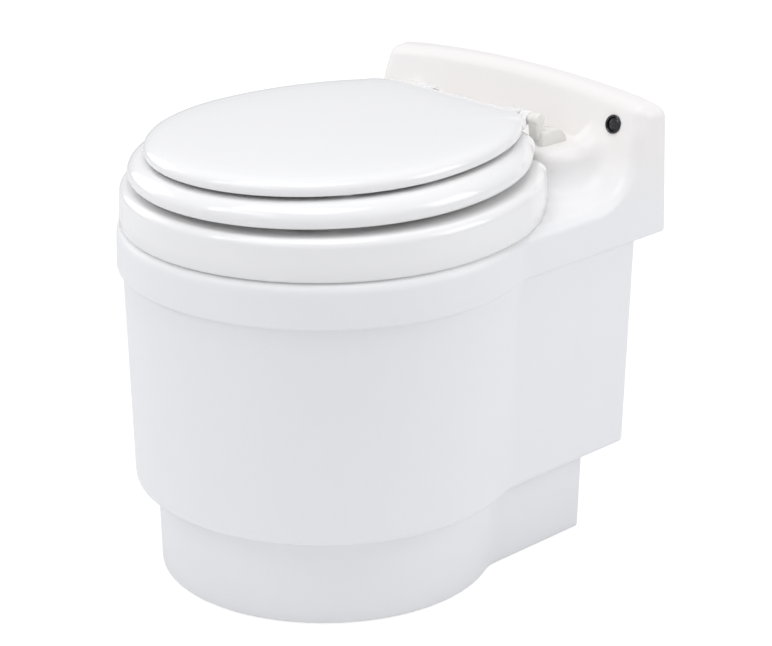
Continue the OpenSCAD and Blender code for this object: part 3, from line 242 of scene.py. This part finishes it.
BOSS_R, BOSS_LOW, BOSS_TOP = 7.0, 12.3, 44.0
BOSS_IN = WALL + BOSS_R - 1
BOSS_REACH = PLINTH[0] - BOSS_IN
BOSSES = [(BOSS_REACH * math.cos(math.radians(a)), BOSS_REACH * math.sin(math.radians(a))) for a in (-90, -10, -170)]
BOSSES += [(s * (PLINTH[1] - BOSS_IN - 2.5), PLINTH[2] - BOSS_IN - 2.5) for s in (-1, 1)]


def button_frame(x, y, z):
    """Distance from the button's axis, and depth along it behind the panel's face."""
    dy, dz = y - face_y(BUTTON_Z), z - BUTTON_Z
    depth = dy * math.cos(LEAN) - dz * math.sin(LEAN)
    up = dz * math.cos(LEAN) + dy * math.sin(LEAN)
    return np.hypot(x - BUTTON_X, up), depth


def shell_field(x, y, z):
    """Signed distance to the shell, close to the surface; x, y and z broadcast together."""
    plinth, body, band = (look_up(t, x, y) for t in FIELDS)
    plinth = plinth - z * DRAFT
    body = meet(body - (z - BODY_Z) * DRAFT, BODY_Z - z, BODY_EDGE_R)
    wall = band + (np.minimum(z, DECK_Z) - BAND_Z) * DRAFT + np.maximum(z - DECK_Z, 0) * PANEL_TAPER
    face = (face_y(z) - y) * math.cos(LEAN)
    cove_z = DECK_Z + COVE_R
    dy, dz = y - face_y(cove_z) + COVE_R / math.cos(LEAN), z - cove_z
    in_cove = (dy > 0) & (dy * math.sin(LEAN) + dz * math.cos(LEAN) < 0)
    top = np.where(in_cove, COVE_R - np.hypot(dy, dz), np.minimum(z - DECK_Z, face))
    top = meet(top, z - OVERALL_H + PANEL_ARCH * (x / BAND[1]) ** 2, PANEL_TOP_R)
    qx = np.maximum(np.abs(x) - SHELF_HALF_W + SHELF_PLAN_R, 0)
    qy = np.maximum(SHELF_FRONT + SHELF_PLAN_R - y, 0)
    shelf = np.maximum(np.hypot(qx, qy) - SHELF_PLAN_R, y - PANEL_FOOT - 40)
    shelf = meet(shelf, z - SHELF_Z, SHELF_EDGE_R)
    sharper = step(z, 398, 418) * step(-np.abs(x), -126, -102)
    blend = SHELF_FOOT_R + (SHELF_REAR_R - SHELF_FOOT_R) * sharper
    top = join(top, shelf, blend)
    corner = SHOULDER_R + (PANEL_CORNER_R - SHOULDER_R) * step(z, 440, 462) * step(np.abs(x), 150, 182)
    crown = meet(meet(wall, top, corner), BAND_Z - z, BAND_EDGE_R)
    skin = join(np.maximum(plinth, z - BODY_Z - 30), np.maximum(body, z - BAND_Z - 20), 1.0)
    skin = join(crown, skin, 1.5)
    hollow = np.maximum(meet(skin, PLINTH_GAP - z, 1.5), -(skin + WALL))
    deck_hole = np.maximum(np.hypot(x, y) - DECK_HOLE_R, DECK_Z - 12 - z)
    hatch = np.maximum(np.abs(x) - SERVICE_HALF[0], np.abs(z - SERVICE_Z) - SERVICE_HALF[1])
    hatch = np.maximum(hatch, HATCH_FRONT - y)
    around, depth = button_frame(x, y, z)
    drill = np.maximum(around - THREAD_R - 0.4, np.abs(depth) - 12)
    return np.maximum(hollow, -np.minimum(np.minimum(deck_hole, hatch), drill))


CORNERS = np.array([[i, j, k] for i in (0, 1) for j in (0, 1) for k in (0, 1)])
CELL_EDGES = [(a, b) for a in range(8) for b in range(a + 1, 8) if np.abs(CORNERS[a] - CORNERS[b]).sum() == 1]


def surface_net(field, low, high, h):
    """Quads on the zero surface of a field: one vertex in each grid cell that it crosses."""
    xs, ys, zs = (np.arange(a, b + h, h) for a, b in zip(low, high))
    F = np.concatenate([field(xs[:, None, None], ys[None, :, None], z[None, None, :]).astype(np.float32)
                        for z in np.array_split(zs, 12)], axis=2)
    inside = F < 0
    nx, ny, nz = (n - 1 for n in inside.shape)
    total = sum(inside[i:nx + i, j:ny + j, k:nz + k].astype(np.int8) for i, j, k in CORNERS)
    cells = np.argwhere((total > 0) & (total < 8))
    ids = np.full(total.shape, -1, np.int32)
    ids[tuple(cells.T)] = np.arange(len(cells))
    values = np.stack([F[tuple((cells + c).T)] for c in CORNERS], 1)
    acc = np.zeros((len(cells), 3))
    hits = np.zeros(len(cells))
    for a, b in CELL_EDGES:
        fa, fb = values[:, a], values[:, b]
        cross = (fa < 0) != (fb < 0)
        t = np.where(cross, fa / np.where(cross, fa - fb, 1), 0)
        acc += np.where(cross[:, None], CORNERS[a] + t[:, None] * (CORNERS[b] - CORNERS[a]), 0)
        hits += cross
    verts = (cells + acc / hits[:, None]) * h + np.array([xs[0], ys[0], zs[0]])
    faces = []
    for axis in range(3):
        u, v = (axis + 1) % 3, (axis + 2) % 3
        a, b = (np.moveaxis(inside, axis, 0)[s] for s in (slice(None, -1), slice(1, None)))
        edges = np.argwhere(a != b)
        order = np.array([k for k in range(3) if k != axis])
        full = np.zeros_like(edges)
        full[:, axis] = edges[:, 0]
        full[:, order[0]], full[:, order[1]] = edges[:, 1], edges[:, 2]
        du, dv = np.eye(3, dtype=int)[u], np.eye(3, dtype=int)[v]
        quad = np.stack([ids[tuple((full - s).T)] for s in (du + dv, dv, 0 * du, du)], 1)
        starts_inside = inside[tuple(full.T)]
        faces.append(np.where(starts_inside[:, None], quad, quad[:, ::-1]))
    return verts, np.concatenate(faces)


def slope(field, pts, eps):
    """Unit slope of the field at each point."""
    grad = np.stack([field(*(pts + eps * axis).T) - field(*(pts - eps * axis).T) for axis in np.eye(3)], 1)
    return grad / np.maximum(np.linalg.norm(grad, axis=1, keepdims=True), 1e-6)


def settle(field, verts, rounds=2):
    """Moves points along the field's slope onto its zero surface."""
    for _ in range(rounds):
        verts = verts - np.clip(field(*verts.T), -1, 1)[:, None] * slope(field, verts, 0.4)
    return verts


GRID = 2.0
SHELL_LOW, SHELL_HIGH = (-219, -219, -1), (219, 341, 489)


def shade_by_field(ob, field):
    """Corner normals from the field's slope, except where a face turns away at a sharp edge."""
    me = ob.data
    co = np.empty(len(me.vertices) * 3)
    me.vertices.foreach_get("co", co)
    pts = co.reshape(-1, 3) / MM - (0, BOWL_Y, 0)
    grad = slope(field, pts, 0.3)
    corner = np.empty(len(me.loops), int)
    me.loops.foreach_get("vertex_index", corner)
    total = np.empty(len(me.polygons), int)
    me.polygons.foreach_get("loop_total", total)
    flat = np.empty(len(me.polygons) * 3)
    me.polygons.foreach_get("normal", flat)
    flat = np.repeat(flat.reshape(-1, 3), total, axis=0)
    soft = grad[corner]
    use = (soft * flat).sum(1, keepdims=True) > 0.8
    me.normals_split_custom_set(np.where(use, soft, flat).tolist())


def make_shell():
    """The one-piece moulded shell: plinth, body, rim band, hinge shelf and back panel."""
    verts, faces = surface_net(shell_field, SHELL_LOW, SHELL_HIGH, GRID)
    verts = settle(shell_field, verts)
    ob = link("shell", verts, faces, crease=180)
    thin = ob.modifiers.new("thin", "DECIMATE")
    thin.ratio = 0.17
    apply_modifiers(ob)
    shade_by_field(ob, shell_field)
    return ob


# Bowl ring, seat and lid


def ring_outline(e):
    return egg(RING, SHELF_FRONT - 3, e, RING_CORNER)


def seat_outline(e):
    return egg(SEAT, SEAT_REAR, e, SEAT_CORNER)


def lid_outline(e):
    return egg(LID, LID_REAR, e, SEAT_CORNER)


def round_profile(z_high, e0, r, steps=8):
    """Levels (z, e) that round an upper edge."""
    t = np.radians(np.linspace(0, 90, steps + 1))
    return [(z_high - r + r * math.sin(a), e0 + r * (1 - math.cos(a))) for a in t]


def circle_like(outline, r, cy=0.0):
    """Points of a circle in the directions of the outline's points."""
    a = np.arctan2(outline[:, 1] - cy, outline[:, 0])
    return np.stack([r * np.cos(a), cy + r * np.sin(a)], 1)


def stadium_like(outline, r, half, cy):
    """Points of a stadium along Y in the directions of the outline's points."""
    a = np.arctan2(outline[:, 1] - cy, outline[:, 0])
    c, s = np.cos(a), np.sin(a)
    side = np.abs(s) * r < half * np.abs(c)
    reach = half * np.abs(s)
    cap = reach + np.sqrt(np.maximum(r * r - (half * c) ** 2, 0))
    k = np.where(side, r / np.maximum(np.abs(c), 1e-6), cap)
    return np.stack([k * c, cy + k * s], 1)


def make_bowl_ring():
    base = ring_outline(0)
    outer = [(RING_LOW, 0.6), (RING_LOW + 1, 0.0), (RING_LOW + 14, 0.5)]
    outer += round_profile(RING_Z, 1.5, RING_EDGE_R)
    rings = [at(circle_like(base, MOUTH_R), z) for z in (RING_Z - 6, RING_LOW + 16, RING_LOW)]
    rings += [at(circle_like(base, MOUTH_R + RING_WALL), z) for z in (RING_LOW, RING_Z - RING_WALL - 3)]
    rings += [at(ring_outline(RING_WALL + 12), RING_Z - RING_WALL - 1)]
    rings += [at(ring_outline(RING_WALL + 2), RING_Z - 14)]
    rings += [at(ring_outline(RING_WALL), RING_LOW)]
    rings += [at(ring_outline(e), z) for z, e in outer]
    rings += [at(ring_outline(RING_EDGE_R + 4), RING_Z)]
    t = np.radians(np.linspace(0, 90, 7))
    lip = 5
    rings += [at(circle_like(base, MOUTH_R + lip * (1 - math.sin(a))), RING_Z - lip * (1 - math.cos(a))) for a in t]
    return stack("bowl_ring_skin", rings, cap=False)


SEAT_HOLE_HALF_W, SEAT_HOLE_L, SEAT_HOLE_Y = 108.0, 268.0, -4.0


def seat_hole(grow):
    half = SEAT_HOLE_L / 2 - SEAT_HOLE_HALF_W
    return stadium_like(seat_outline(0), SEAT_HOLE_HALF_W + grow, half, SEAT_HOLE_Y)


def inward(ring, k):
    """A ring drawn towards its middle."""
    middle = ring.mean(0)
    return middle + (ring - middle) * (k, k, 1)


def cylinder_x(x0, x1, y, z, r, bevel=0.8, steps=40):
    """Rings of a cylinder along X with softened rims, as (verts, faces)."""
    t = np.linspace(0, 2 * math.pi, steps, endpoint=False)
    verts = []
    for x, k in ((x0, r - bevel), (x0 + bevel * 0.3, r - bevel * 0.3), (x0 + bevel, r), (x1 - bevel, r),
                 (x1 - bevel * 0.3, r - bevel * 0.3), (x1, r - bevel)):
        verts += [(x, y + k * math.cos(a), z + k * math.sin(a)) for a in t]
    faces = [tuple(range(steps))] + [tuple(range(6 * steps - 1, 5 * steps - 1, -1))]
    faces += [(b, a, c, d) for a, b, d, c in ring_faces(6, steps)]
    return verts, [f[::-1] for f in faces]


def box_loft(sections):
    """A skin through like polygons, capped at both ends."""
    n = len(sections[0])
    verts = [p for s in sections for p in s]
    faces = [tuple(range(n))[::-1], tuple(range((len(sections) - 1) * n, len(sections) * n))]
    return verts, faces + ring_faces(len(sections), n)


def merged(name, parts):
    """One object from several closed skins."""
    verts, faces = [], []
    for v, f in parts:
        base = len(verts)
        verts += [tuple(p) for p in v]
        faces += [tuple(i + base for i in q) for q in f]
    return link(name, verts, faces)


def of(ob):
    """An object's points in bowl-centred millimetres and its faces."""
    verts = [tuple(v.co / MM - Vector((0, BOWL_Y, 0))) for v in ob.data.vertices]
    faces = [tuple(p.vertices) for p in ob.data.polygons]
    bpy.data.objects.remove(ob)
    return verts, faces


KNUCKLE_X = HINGE_OUT - POST_LEN - KNUCKLE_GAP
LID_KNUCKLE_X = KNUCKLE_X - SEAT_KNUCKLE - KNUCKLE_GAP


ARM_SECTION = ((-1, -0.7), (-0.8, -1), (0.8, -1), (1, -0.7), (1, 0.7), (0.8, 1), (-0.8, 1), (-1, 0.7))


def arm(x0, x1, start, end, half0, half1):
    """A flattened arm in the X range from a point to another in the YZ plane."""
    (y0, z0), (y1, z1) = start, end
    d = np.array([y1 - y0, z1 - z0])
    n = np.array([-d[1], d[0]]) / np.linalg.norm(d)
    sections = []
    for s in np.linspace(0, 1, 5):
        c = np.array([y0, z0]) + d * s
        h = half0 + (half1 - half0) * s
        ring = []
        for ux, un in ARM_SECTION:
            q = c + n * h * un
            ring.append(((x0 + x1) / 2 + (x1 - x0) / 2 * ux, q[0], q[1]))
        sections.append(ring)
    return box_loft(sections)


def make_seat():
    z0, top = SEAT_Z, SEAT_TOP
    rings = [at(seat_hole(grow), z) for grow, z in
             ((3, z0 + 0.3), (0.8, z0 + 2), (0, z0 + 6), (0.6, top - 11), (2.6, top - 6.5), (6.5, top - 3.2),
              (13, top - 1.2), (22, top - 0.4))]
    rings += [at(seat_outline(e), z) for e, z in
              ((30, top), (20, top - 0.6), (13, top - 2.0), (8, top - 4.0), (4.4, top - 6.8), (1.8, top - 10),
               (0.4, top - 13.5), (0, top - 17), (0.6, z0 + 4), (2.2, z0 + 1.6), (5, z0 + 0.2), (9, z0))]
    parts = [of(stack("s", rings, cap=False))]
    for s in (-1, 1):
        x1, x0 = KNUCKLE_X, KNUCKLE_X - SEAT_KNUCKLE
        lo, hi = sorted((s * x0, s * x1))
        parts.append(cylinder_x(lo, hi, HINGE_Y, HINGE_Z, BARREL_R))
        parts.append(arm(lo, hi, (HINGE_Y - 3, HINGE_Z - 2), (SEAT_REAR - 16, SEAT_TOP - 6), 4.6, 5.5))
    return merged("seat_skin", parts)


def make_lid():
    z0, top = LID_Z, LID_Z + LID_T
    roof = at(lid_outline(40), top - LID_WALL - 0.2)
    rings = [inward(roof, k) for k in (0.1, 0.4, 0.75)]
    rings += [at(lid_outline(e), z) for e, z in
              ((40, top - LID_WALL - 0.2), (22, top - LID_WALL - 2), (11, z0 + 8.5), (6.5, z0 + 5),
               (5.6, z0 + 0.6), (4.6, z0), (3.0, z0), (1.2, z0 + 0.7), (0.3, z0 + 2.2), (0, z0 + 4.2),
               (0.3, z0 + 7), (1.4, z0 + 9.6), (3.4, z0 + 11.6), (6.4, z0 + 13.2), (10.5, z0 + 14.4),
               (18, z0 + 15.3), (34, top))]
    crown = rings[-1]
    rings += [inward(crown, k) + (0, 0, rise) for k, rise in ((0.85, 0.5), (0.6, 0.9), (0.3, 1.1), (0.08, 1.2))]
    parts = [of(stack("l", rings))]
    for s in (-1, 1):
        x1, x0 = LID_KNUCKLE_X, LID_KNUCKLE_X - LID_KNUCKLE
        lo, hi = sorted((s * x0, s * x1))
        parts.append(cylinder_x(lo, hi, HINGE_Y, HINGE_Z, BARREL_R))
        parts.append(arm(lo, hi, (HINGE_Y - 2, HINGE_Z + 3), (LID_REAR - 7, z0 + 7), 4.2, 5.0))
    return merged("lid_skin", parts)


# Hinge posts: a barrel on a wedge-shaped foot


def make_posts():
    parts = []
    y0, y1, z0 = HINGE_Y - 3, HINGE_Y + 36, SHELF_Z
    for s in (-1, 1):
        lo, hi = sorted((s * (HINGE_OUT - POST_LEN), s * HINGE_OUT))
        parts.append(cylinder_x(lo, hi, HINGE_Y, HINGE_Z, BARREL_R, bevel=1.0))
        lo, hi = sorted((s * (HINGE_OUT - POST_LEN), s * (HINGE_OUT + 5)))
        profile = [(y0, z0), (y0 + 1, z0 + 9), (y0 + 3, z0 + 14.5), (y0 + 8, z0 + 15.8), (y1 - 14, z0 + 15.2),
                   (y1 - 6, z0 + 11.4), (y1 - 1.6, z0 + 6), (y1, z0 + 2.5), (y1, z0)]
        sections = []
        for f, k in ((0, 0.90), (0.04, 0.965), (0.12, 1.0), (0.88, 1.0), (0.96, 0.965), (1, 0.90)):
            x = lo + (hi - lo) * f
            cy, cz = (y0 + y1) / 2, z0
            sections.append([(x, cy + (y - cy) * k, cz + (z - cz) * k) for y, z in profile])
        parts.append(box_loft(sections))
        nlo, nhi = sorted((s * (HINGE_OUT - POST_LEN + 0.4), s * (HINGE_OUT - 0.4)))
        parts.append(arm(nlo, nhi, (HINGE_Y - 1, HINGE_Z), (HINGE_Y + 2, z0 + 8), 5.6, 6.4))
    return merged("hinge_post_skins", parts)


# Flush button


def turned(name, profile, origin, axis, steps=64):
    """A closed skin turned round an axis from (radius, height) pairs that start and end on it."""
    z = Vector(axis).normalized()
    x = z.orthogonal().normalized()
    y = z.cross(x)
    verts, faces = [], []
    rings = [p for p in profile if p[0] > 1e-6]
    for r, h in rings:
        for i in range(steps):
            a = 2 * math.pi * i / steps
            verts.append(Vector(origin) + z * h + (x * math.cos(a) + y * math.sin(a)) * r)
    n = len(rings)
    if profile[0][0] <= 1e-6:
        faces = ring_faces(n, steps)
        verts.append(Vector(origin) + z * profile[0][1])
        verts.append(Vector(origin) + z * profile[-1][1])
        for i in range(steps):
            j = (i + 1) % steps
            faces.append((n * steps, j, i))
            faces.append((n * steps + 1, (n - 1) * steps + i, (n - 1) * steps + j))
    else:
        faces = ring_faces(n, steps, closed=True)
    return link(name, verts, faces)


BUTTON_AT = (BUTTON_X, face_y(BUTTON_Z), BUTTON_Z)
BUTTON_OUT = (0, -math.cos(LEAN), math.sin(LEAN))


def make_button():
    bore = CAP_R + 0.25
    flange = [(BEZEL_R - 0.6, -0.4), (BEZEL_R, 0.1), (BEZEL_R, 0.9), (BEZEL_R - 0.5, 1.6), (BEZEL_R - 1.4, 1.95)]
    inside = [(bore + 1.1, 1.9), (bore + 0.4, 1.4), (bore, 0.6), (bore, -13.5)]
    bezel = turned("button_bezel_skin", [(THREAD_R, -13.5), (THREAD_R, -0.4)] + flange + inside, BUTTON_AT, BUTTON_OUT)
    dome = [(CAP_R * s, 0.6 - 1.1 * s * s) for s in (0.12, 0.35, 0.6, 0.8, 0.92)]
    side = [(CAP_R - 0.4, -9.5), (CAP_R, -9.0), (CAP_R, -1.0), (CAP_R - 0.15, -0.7)]
    cap = turned("button_cap_skin", [(0, -9.5)] + side + dome[::-1] + [(0, 0.6)], BUTTON_AT, BUTTON_OUT)
    return bezel, cap


# Film liner: thin drawn film that hangs as a funnel and is twisted shut


def make_liner():
    lip_z = CARTRIDGE_TOP
    profile = [(126.5, lip_z + 0.2), (119, lip_z + 1.2), (114, lip_z - 1), (108.5, lip_z - 8), (103, lip_z - 30),
               (96, lip_z - 55), (84, lip_z - 75), (70, lip_z - 103), (52, lip_z - 125), (33, lip_z - 140),
               (17, lip_z - 151), (9, lip_z - 161), (7, lip_z - 167)]
    steps = 240
    rings = []
    for k, (r, z) in enumerate(profile):
        f = k / (len(profile) - 1)
        depth = 0.2 + 2.6 * math.sin(math.pi * min(1, f * 1.1)) ** 1.3
        ring = []
        for i in range(steps):
            a = 2 * math.pi * i / steps
            twist = 1.9 * max(0, f - 0.35) ** 1.6
            fold = math.sin(36 * a + 2 * math.sin(3 * a)) * 0.65 + 0.35 * math.sin(59 * a + 1.3)
            rr = r - depth * min(1, r / 30) * (0.5 + 0.5 * fold)
            ring.append((rr * math.cos(a + twist), rr * math.sin(a + twist), z))
        rings.append(np.array(ring))
    inner = []
    for ring in rings:
        shrink = 1 - 0.7 / np.linalg.norm(ring[:, :2], axis=1)
        inner.append(np.column_stack([ring[:, :2] * shrink[:, None], ring[:, 2] + 0.5]))
    return stack("film_liner_skin", inner + rings[::-1], cap=False)


def make_bosses():
    """Blind screw bosses that stand on the base plate."""
    profile = [(0, 36), (2.5, 36), (2.5, BOSS_LOW), (BOSS_R, BOSS_LOW), (BOSS_R, BOSS_TOP - 1),
               (BOSS_R - 1, BOSS_TOP), (0, BOSS_TOP)]
    return [turned("boss_%d" % i, profile, (x, y, 0), (0, 0, 1)) for i, (x, y) in enumerate(BOSSES)]


# Materials


# Heights between which a moulding turns to its warmer tone, in metres
WARM_FROM, WARM_TO = 0.36, 0.43
WARM_WHITE = (0.93, 0.905, 0.885)


def material(name, color, rough, metal=0.0, coat=0.0, grain=0.0, grain_scale=900.0, mottle=0.02, specular=0.5,
             sheen=0.0, stretch=None, warm=None):
    """A moulded or metal surface with slight unevenness in tone, gloss and grain."""
    m = bpy.data.materials.new(name)
    m.use_nodes = True
    nt = m.node_tree
    p = nt.nodes["Principled BSDF"]
    p.inputs["Metallic"].default_value = metal
    p.inputs["Coat Weight"].default_value = coat
    p.inputs["Coat Roughness"].default_value = 0.08
    p.inputs["Specular IOR Level"].default_value = specular
    p.inputs["Sheen Weight"].default_value = sheen
    coord = nt.nodes.new("ShaderNodeTexCoord")
    source = coord.outputs["Object"]
    if stretch:
        mapping = nt.nodes.new("ShaderNodeMapping")
        mapping.inputs["Scale"].default_value = stretch
        nt.links.new(source, mapping.inputs["Vector"])
        source = mapping.outputs["Vector"]
    broad = nt.nodes.new("ShaderNodeTexNoise")
    broad.inputs["Scale"].default_value = 14.0
    broad.inputs["Detail"].default_value = 4.0
    nt.links.new(source, broad.inputs["Vector"])
    tone = nt.nodes.new("ShaderNodeMix")
    tone.data_type = "RGBA"
    tone.inputs["A"].default_value = (*[c * (1 - mottle) for c in color], 1)
    tone.inputs["B"].default_value = (*[min(1, c * (1 + mottle)) for c in color], 1)
    nt.links.new(broad.outputs["Fac"], tone.inputs["Factor"])
    shade = tone.outputs["Result"]
    if warm:
        height = nt.nodes.new("ShaderNodeSeparateXYZ")
        nt.links.new(coord.outputs["Object"], height.inputs[0])
        share = nt.nodes.new("ShaderNodeMapRange")
        share.inputs["From Min"].default_value = WARM_FROM
        share.inputs["From Max"].default_value = WARM_TO
        nt.links.new(height.outputs["Z"], share.inputs["Value"])
        upper = nt.nodes.new("ShaderNodeMix")
        upper.data_type = "RGBA"
        upper.inputs["B"].default_value = (*warm, 1)
        nt.links.new(share.outputs["Result"], upper.inputs["Factor"])
        nt.links.new(shade, upper.inputs["A"])
        shade = upper.outputs["Result"]
    nt.links.new(shade, p.inputs["Base Color"])
    gloss = nt.nodes.new("ShaderNodeMapRange")
    gloss.inputs["To Min"].default_value = rough * 0.85
    gloss.inputs["To Max"].default_value = min(1, rough * 1.15)
    nt.links.new(broad.outputs["Fac"], gloss.inputs["Value"])
    nt.links.new(gloss.outputs["Result"], p.inputs["Roughness"])
    if grain:
        fine = nt.nodes.new("ShaderNodeTexNoise")
        fine.inputs["Scale"].default_value = grain_scale
        fine.inputs["Detail"].default_value = 2.0
        nt.links.new(source, fine.inputs["Vector"])
        bump = nt.nodes.new("ShaderNodeBump")
        bump.inputs["Strength"].default_value = grain
        bump.inputs["Distance"].default_value = 0.0002
        nt.links.new(fine.outputs["Fac"], bump.inputs["Height"])
        nt.links.new(bump.outputs["Normal"], p.inputs["Normal"])
    return m


SLOTS = {m["slot"]: m for m in frame["record"]["materials"]}


def tint(slot):
    return tuple(SLOTS[slot]["base_color"][:3])


LOOKS = {
    "shell_white": dict(rough=0.36, grain=0.10, grain_scale=700, mottle=0.006, specular=0.42, warm=WARM_WHITE),
    "seat_white": dict(rough=0.10, coat=0.25, grain=0.015, grain_scale=250, mottle=0.004, specular=0.55),
    "hinge_ivory": dict(rough=0.24, grain=0.04, mottle=0.01),
    "bumper_white": dict(rough=0.55, grain=0.10),
    "grey_plastic": dict(rough=0.45, grain=0.25),
    "gear_plastic": dict(rough=0.40, grain=0.12),
    "cartridge_plastic": dict(rough=0.38, grain=0.18),
    "silver_film": dict(rough=0.26, metal=0.55, grain=0.35, grain_scale=120, mottle=0.05),
    "seal_rubber": dict(rough=0.75, grain=0.35, mottle=0.08),
    "black_plastic": dict(rough=0.42, grain=0.25, mottle=0.06),
    "button_black": dict(rough=0.16, coat=0.3, grain=0.02),
    "filter_black": dict(rough=0.95, grain=1.0, grain_scale=400, mottle=0.3, sheen=0.3),
    "strap_black": dict(rough=0.85, grain=0.8, grain_scale=500, stretch=(1, 6, 1), mottle=0.15, sheen=0.3),
    "steel": dict(rough=0.32, metal=1.0, grain=0.12, grain_scale=350, stretch=(1, 1, 7), mottle=0.05),
    "brass": dict(rough=0.28, metal=1.0, grain=0.08, mottle=0.05),
    "board_green": dict(rough=0.30, coat=0.4, grain=0.15, grain_scale=300, mottle=0.12),
    "chip_black": dict(rough=0.50, grain=0.2, mottle=0.1),
    "wire_red": dict(rough=0.35, coat=0.2, grain=0.05, mottle=0.05),
}
MATERIALS = {slot: material(slot + "_look", tint(slot), **look) for slot, look in LOOKS.items()}


def dress(ob, slot):
    ob.data.materials.clear()
    ob.data.materials.append(MATERIALS[slot])


def place(ob, body, slot, *nodes):
    """Gives a new piece its finish and body, and hides the CAD nodes that it stands for."""
    dress(ob, slot)
    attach(ob, body)
    if nodes:
        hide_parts(*nodes)


NODE_SLOT = {s["node"]: s["material_slot"] for s in frame["record"]["subparts"]}
for node, ob in frame["nodes"].items():
    dress(ob, NODE_SLOT[node])

place(make_shell(), "base", "shell_white", "outer_shell")
for boss in make_bosses():
    place(boss, "base", "shell_white", "outer_shell")
place(make_bowl_ring(), "base", "seat_white", "bowl_ring")
place(make_seat(), "seat", "seat_white", "seat")
place(make_lid(), "lid", "seat_white", "lid")
place(make_posts(), "base", "hinge_ivory", "hinge_posts")
bezel, cap = make_button()
place(bezel, "base", "button_black", "button_bezel")
place(cap, "button", "button_black", "button_cap")
place(make_liner(), "turntable", "silver_film", "film_liner")


# Floor, light and camera

FLOOR_HALF = 6.0
PAPER_GLOW = 0.86
FILL_STRENGTH = 0.57


def make_floor():
    s = FLOOR_HALF
    me = bpy.data.meshes.new("floor")
    me.from_pydata([(-s, -s, 0), (s, -s, 0), (s, s, 0), (-s, s, 0)], [], [(0, 1, 2, 3)])
    ob = bpy.data.objects.new("floor", me)
    bpy.context.scene.collection.objects.link(ob)
    m = bpy.data.materials.new("floor_look")
    m.use_nodes = True
    nt = m.node_tree
    p = nt.nodes["Principled BSDF"]
    p.inputs["Base Color"].default_value = (0.93, 0.93, 0.93, 1)
    p.inputs["Roughness"].default_value = 0.9
    p.inputs["Specular IOR Level"].default_value = 0.1
    faint = nt.nodes.new("ShaderNodeBsdfDiffuse")
    faint.inputs["Color"].default_value = (0.3, 0.3, 0.3, 1)
    glow = nt.nodes.new("ShaderNodeEmission")
    glow.inputs["Strength"].default_value = PAPER_GLOW
    paper = nt.nodes.new("ShaderNodeAddShader")
    nt.links.new(faint.outputs["BSDF"], paper.inputs[0])
    nt.links.new(glow.outputs["Emission"], paper.inputs[1])
    path = nt.nodes.new("ShaderNodeLightPath")
    mix = nt.nodes.new("ShaderNodeMixShader")
    nt.links.new(path.outputs["Is Camera Ray"], mix.inputs["Fac"])
    nt.links.new(p.outputs["BSDF"], mix.inputs[1])
    nt.links.new(paper.outputs["Shader"], mix.inputs[2])
    nt.links.new(mix.outputs["Shader"], nt.nodes["Material Output"].inputs["Surface"])
    ob.data.materials.append(m)


def make_world():
    w = bpy.data.worlds.new("studio")
    bpy.context.scene.world = w
    w.use_nodes = True
    nt = w.node_tree
    nt.nodes.clear()
    out = nt.nodes.new("ShaderNodeOutputWorld")
    mix = nt.nodes.new("ShaderNodeMixShader")
    fill, white = nt.nodes.new("ShaderNodeBackground"), nt.nodes.new("ShaderNodeBackground")
    fill.inputs["Color"].default_value = (0.95, 0.96, 1.0, 1)
    fill.inputs["Strength"].default_value = FILL_STRENGTH
    white.inputs["Strength"].default_value = 1.0
    path = nt.nodes.new("ShaderNodeLightPath")
    either = nt.nodes.new("ShaderNodeMath")
    either.operation = "MAXIMUM"
    nt.links.new(path.outputs["Is Camera Ray"], either.inputs[0])
    nt.links.new(path.outputs["Is Transmission Ray"], either.inputs[1])
    nt.links.new(either.outputs[0], mix.inputs["Fac"])
    nt.links.new(fill.outputs["Background"], mix.inputs[1])
    nt.links.new(white.outputs["Background"], mix.inputs[2])
    nt.links.new(mix.outputs["Shader"], out.inputs["Surface"])


def area_light(name, place_at, aim, size, power):
    lamp = bpy.data.lights.new(name, "AREA")
    lamp.shape = "RECTANGLE"
    lamp.size, lamp.size_y = size
    lamp.energy = power
    ob = bpy.data.objects.new(name, lamp)
    bpy.context.scene.collection.objects.link(ob)
    ob.location = place_at
    ob.rotation_euler = (Vector(aim) - Vector(place_at)).to_track_quat("-Z", "Y").to_euler()


CAMERA_AT = (1.79676, -1.75591, 1.19392)
CAMERA_AIM = (0.0442, -0.0072, 0.2594)
CAMERA_LENS = 119.03


def make_camera():
    cam = bpy.data.cameras.new("camera")
    cam.sensor_width = 36.0
    cam.lens = CAMERA_LENS
    ob = bpy.data.objects.new("camera", cam)
    bpy.context.scene.collection.objects.link(ob)
    ob.location = CAMERA_AT
    ob.rotation_euler = (Vector(CAMERA_AIM) - Vector(CAMERA_AT)).to_track_quat("-Z", "Y").to_euler()
    bpy.context.scene.camera = ob


make_floor()
make_world()
area_light("left", (-2.3, -0.5, 1.3), (0, 0, 0.25), (1.6, 1.6), 10)
area_light("right", (1.9, 1.5, 1.5), (0, 0, 0.25), (1.4, 1.4), 15)
area_light("top", (0.1, -0.4, 2.4), (0, 0, 0.3), (1.5, 1.2), 15)
area_light("front_top", (-0.1, -1.5, 1.85), (0, 0, 0.45), (1.2, 0.6), 4.5)
area_light("spark_left", (-0.7, -2.2, 1.9), (0, -0.2, 0.4), (0.34, 0.16), 1.8)
area_light("spark_right", (0.9, -2.3, 1.9), (0, -0.2, 0.4), (0.34, 0.16), 1.8)
make_camera()
bpy.context.scene.view_settings.view_transform = "Standard"
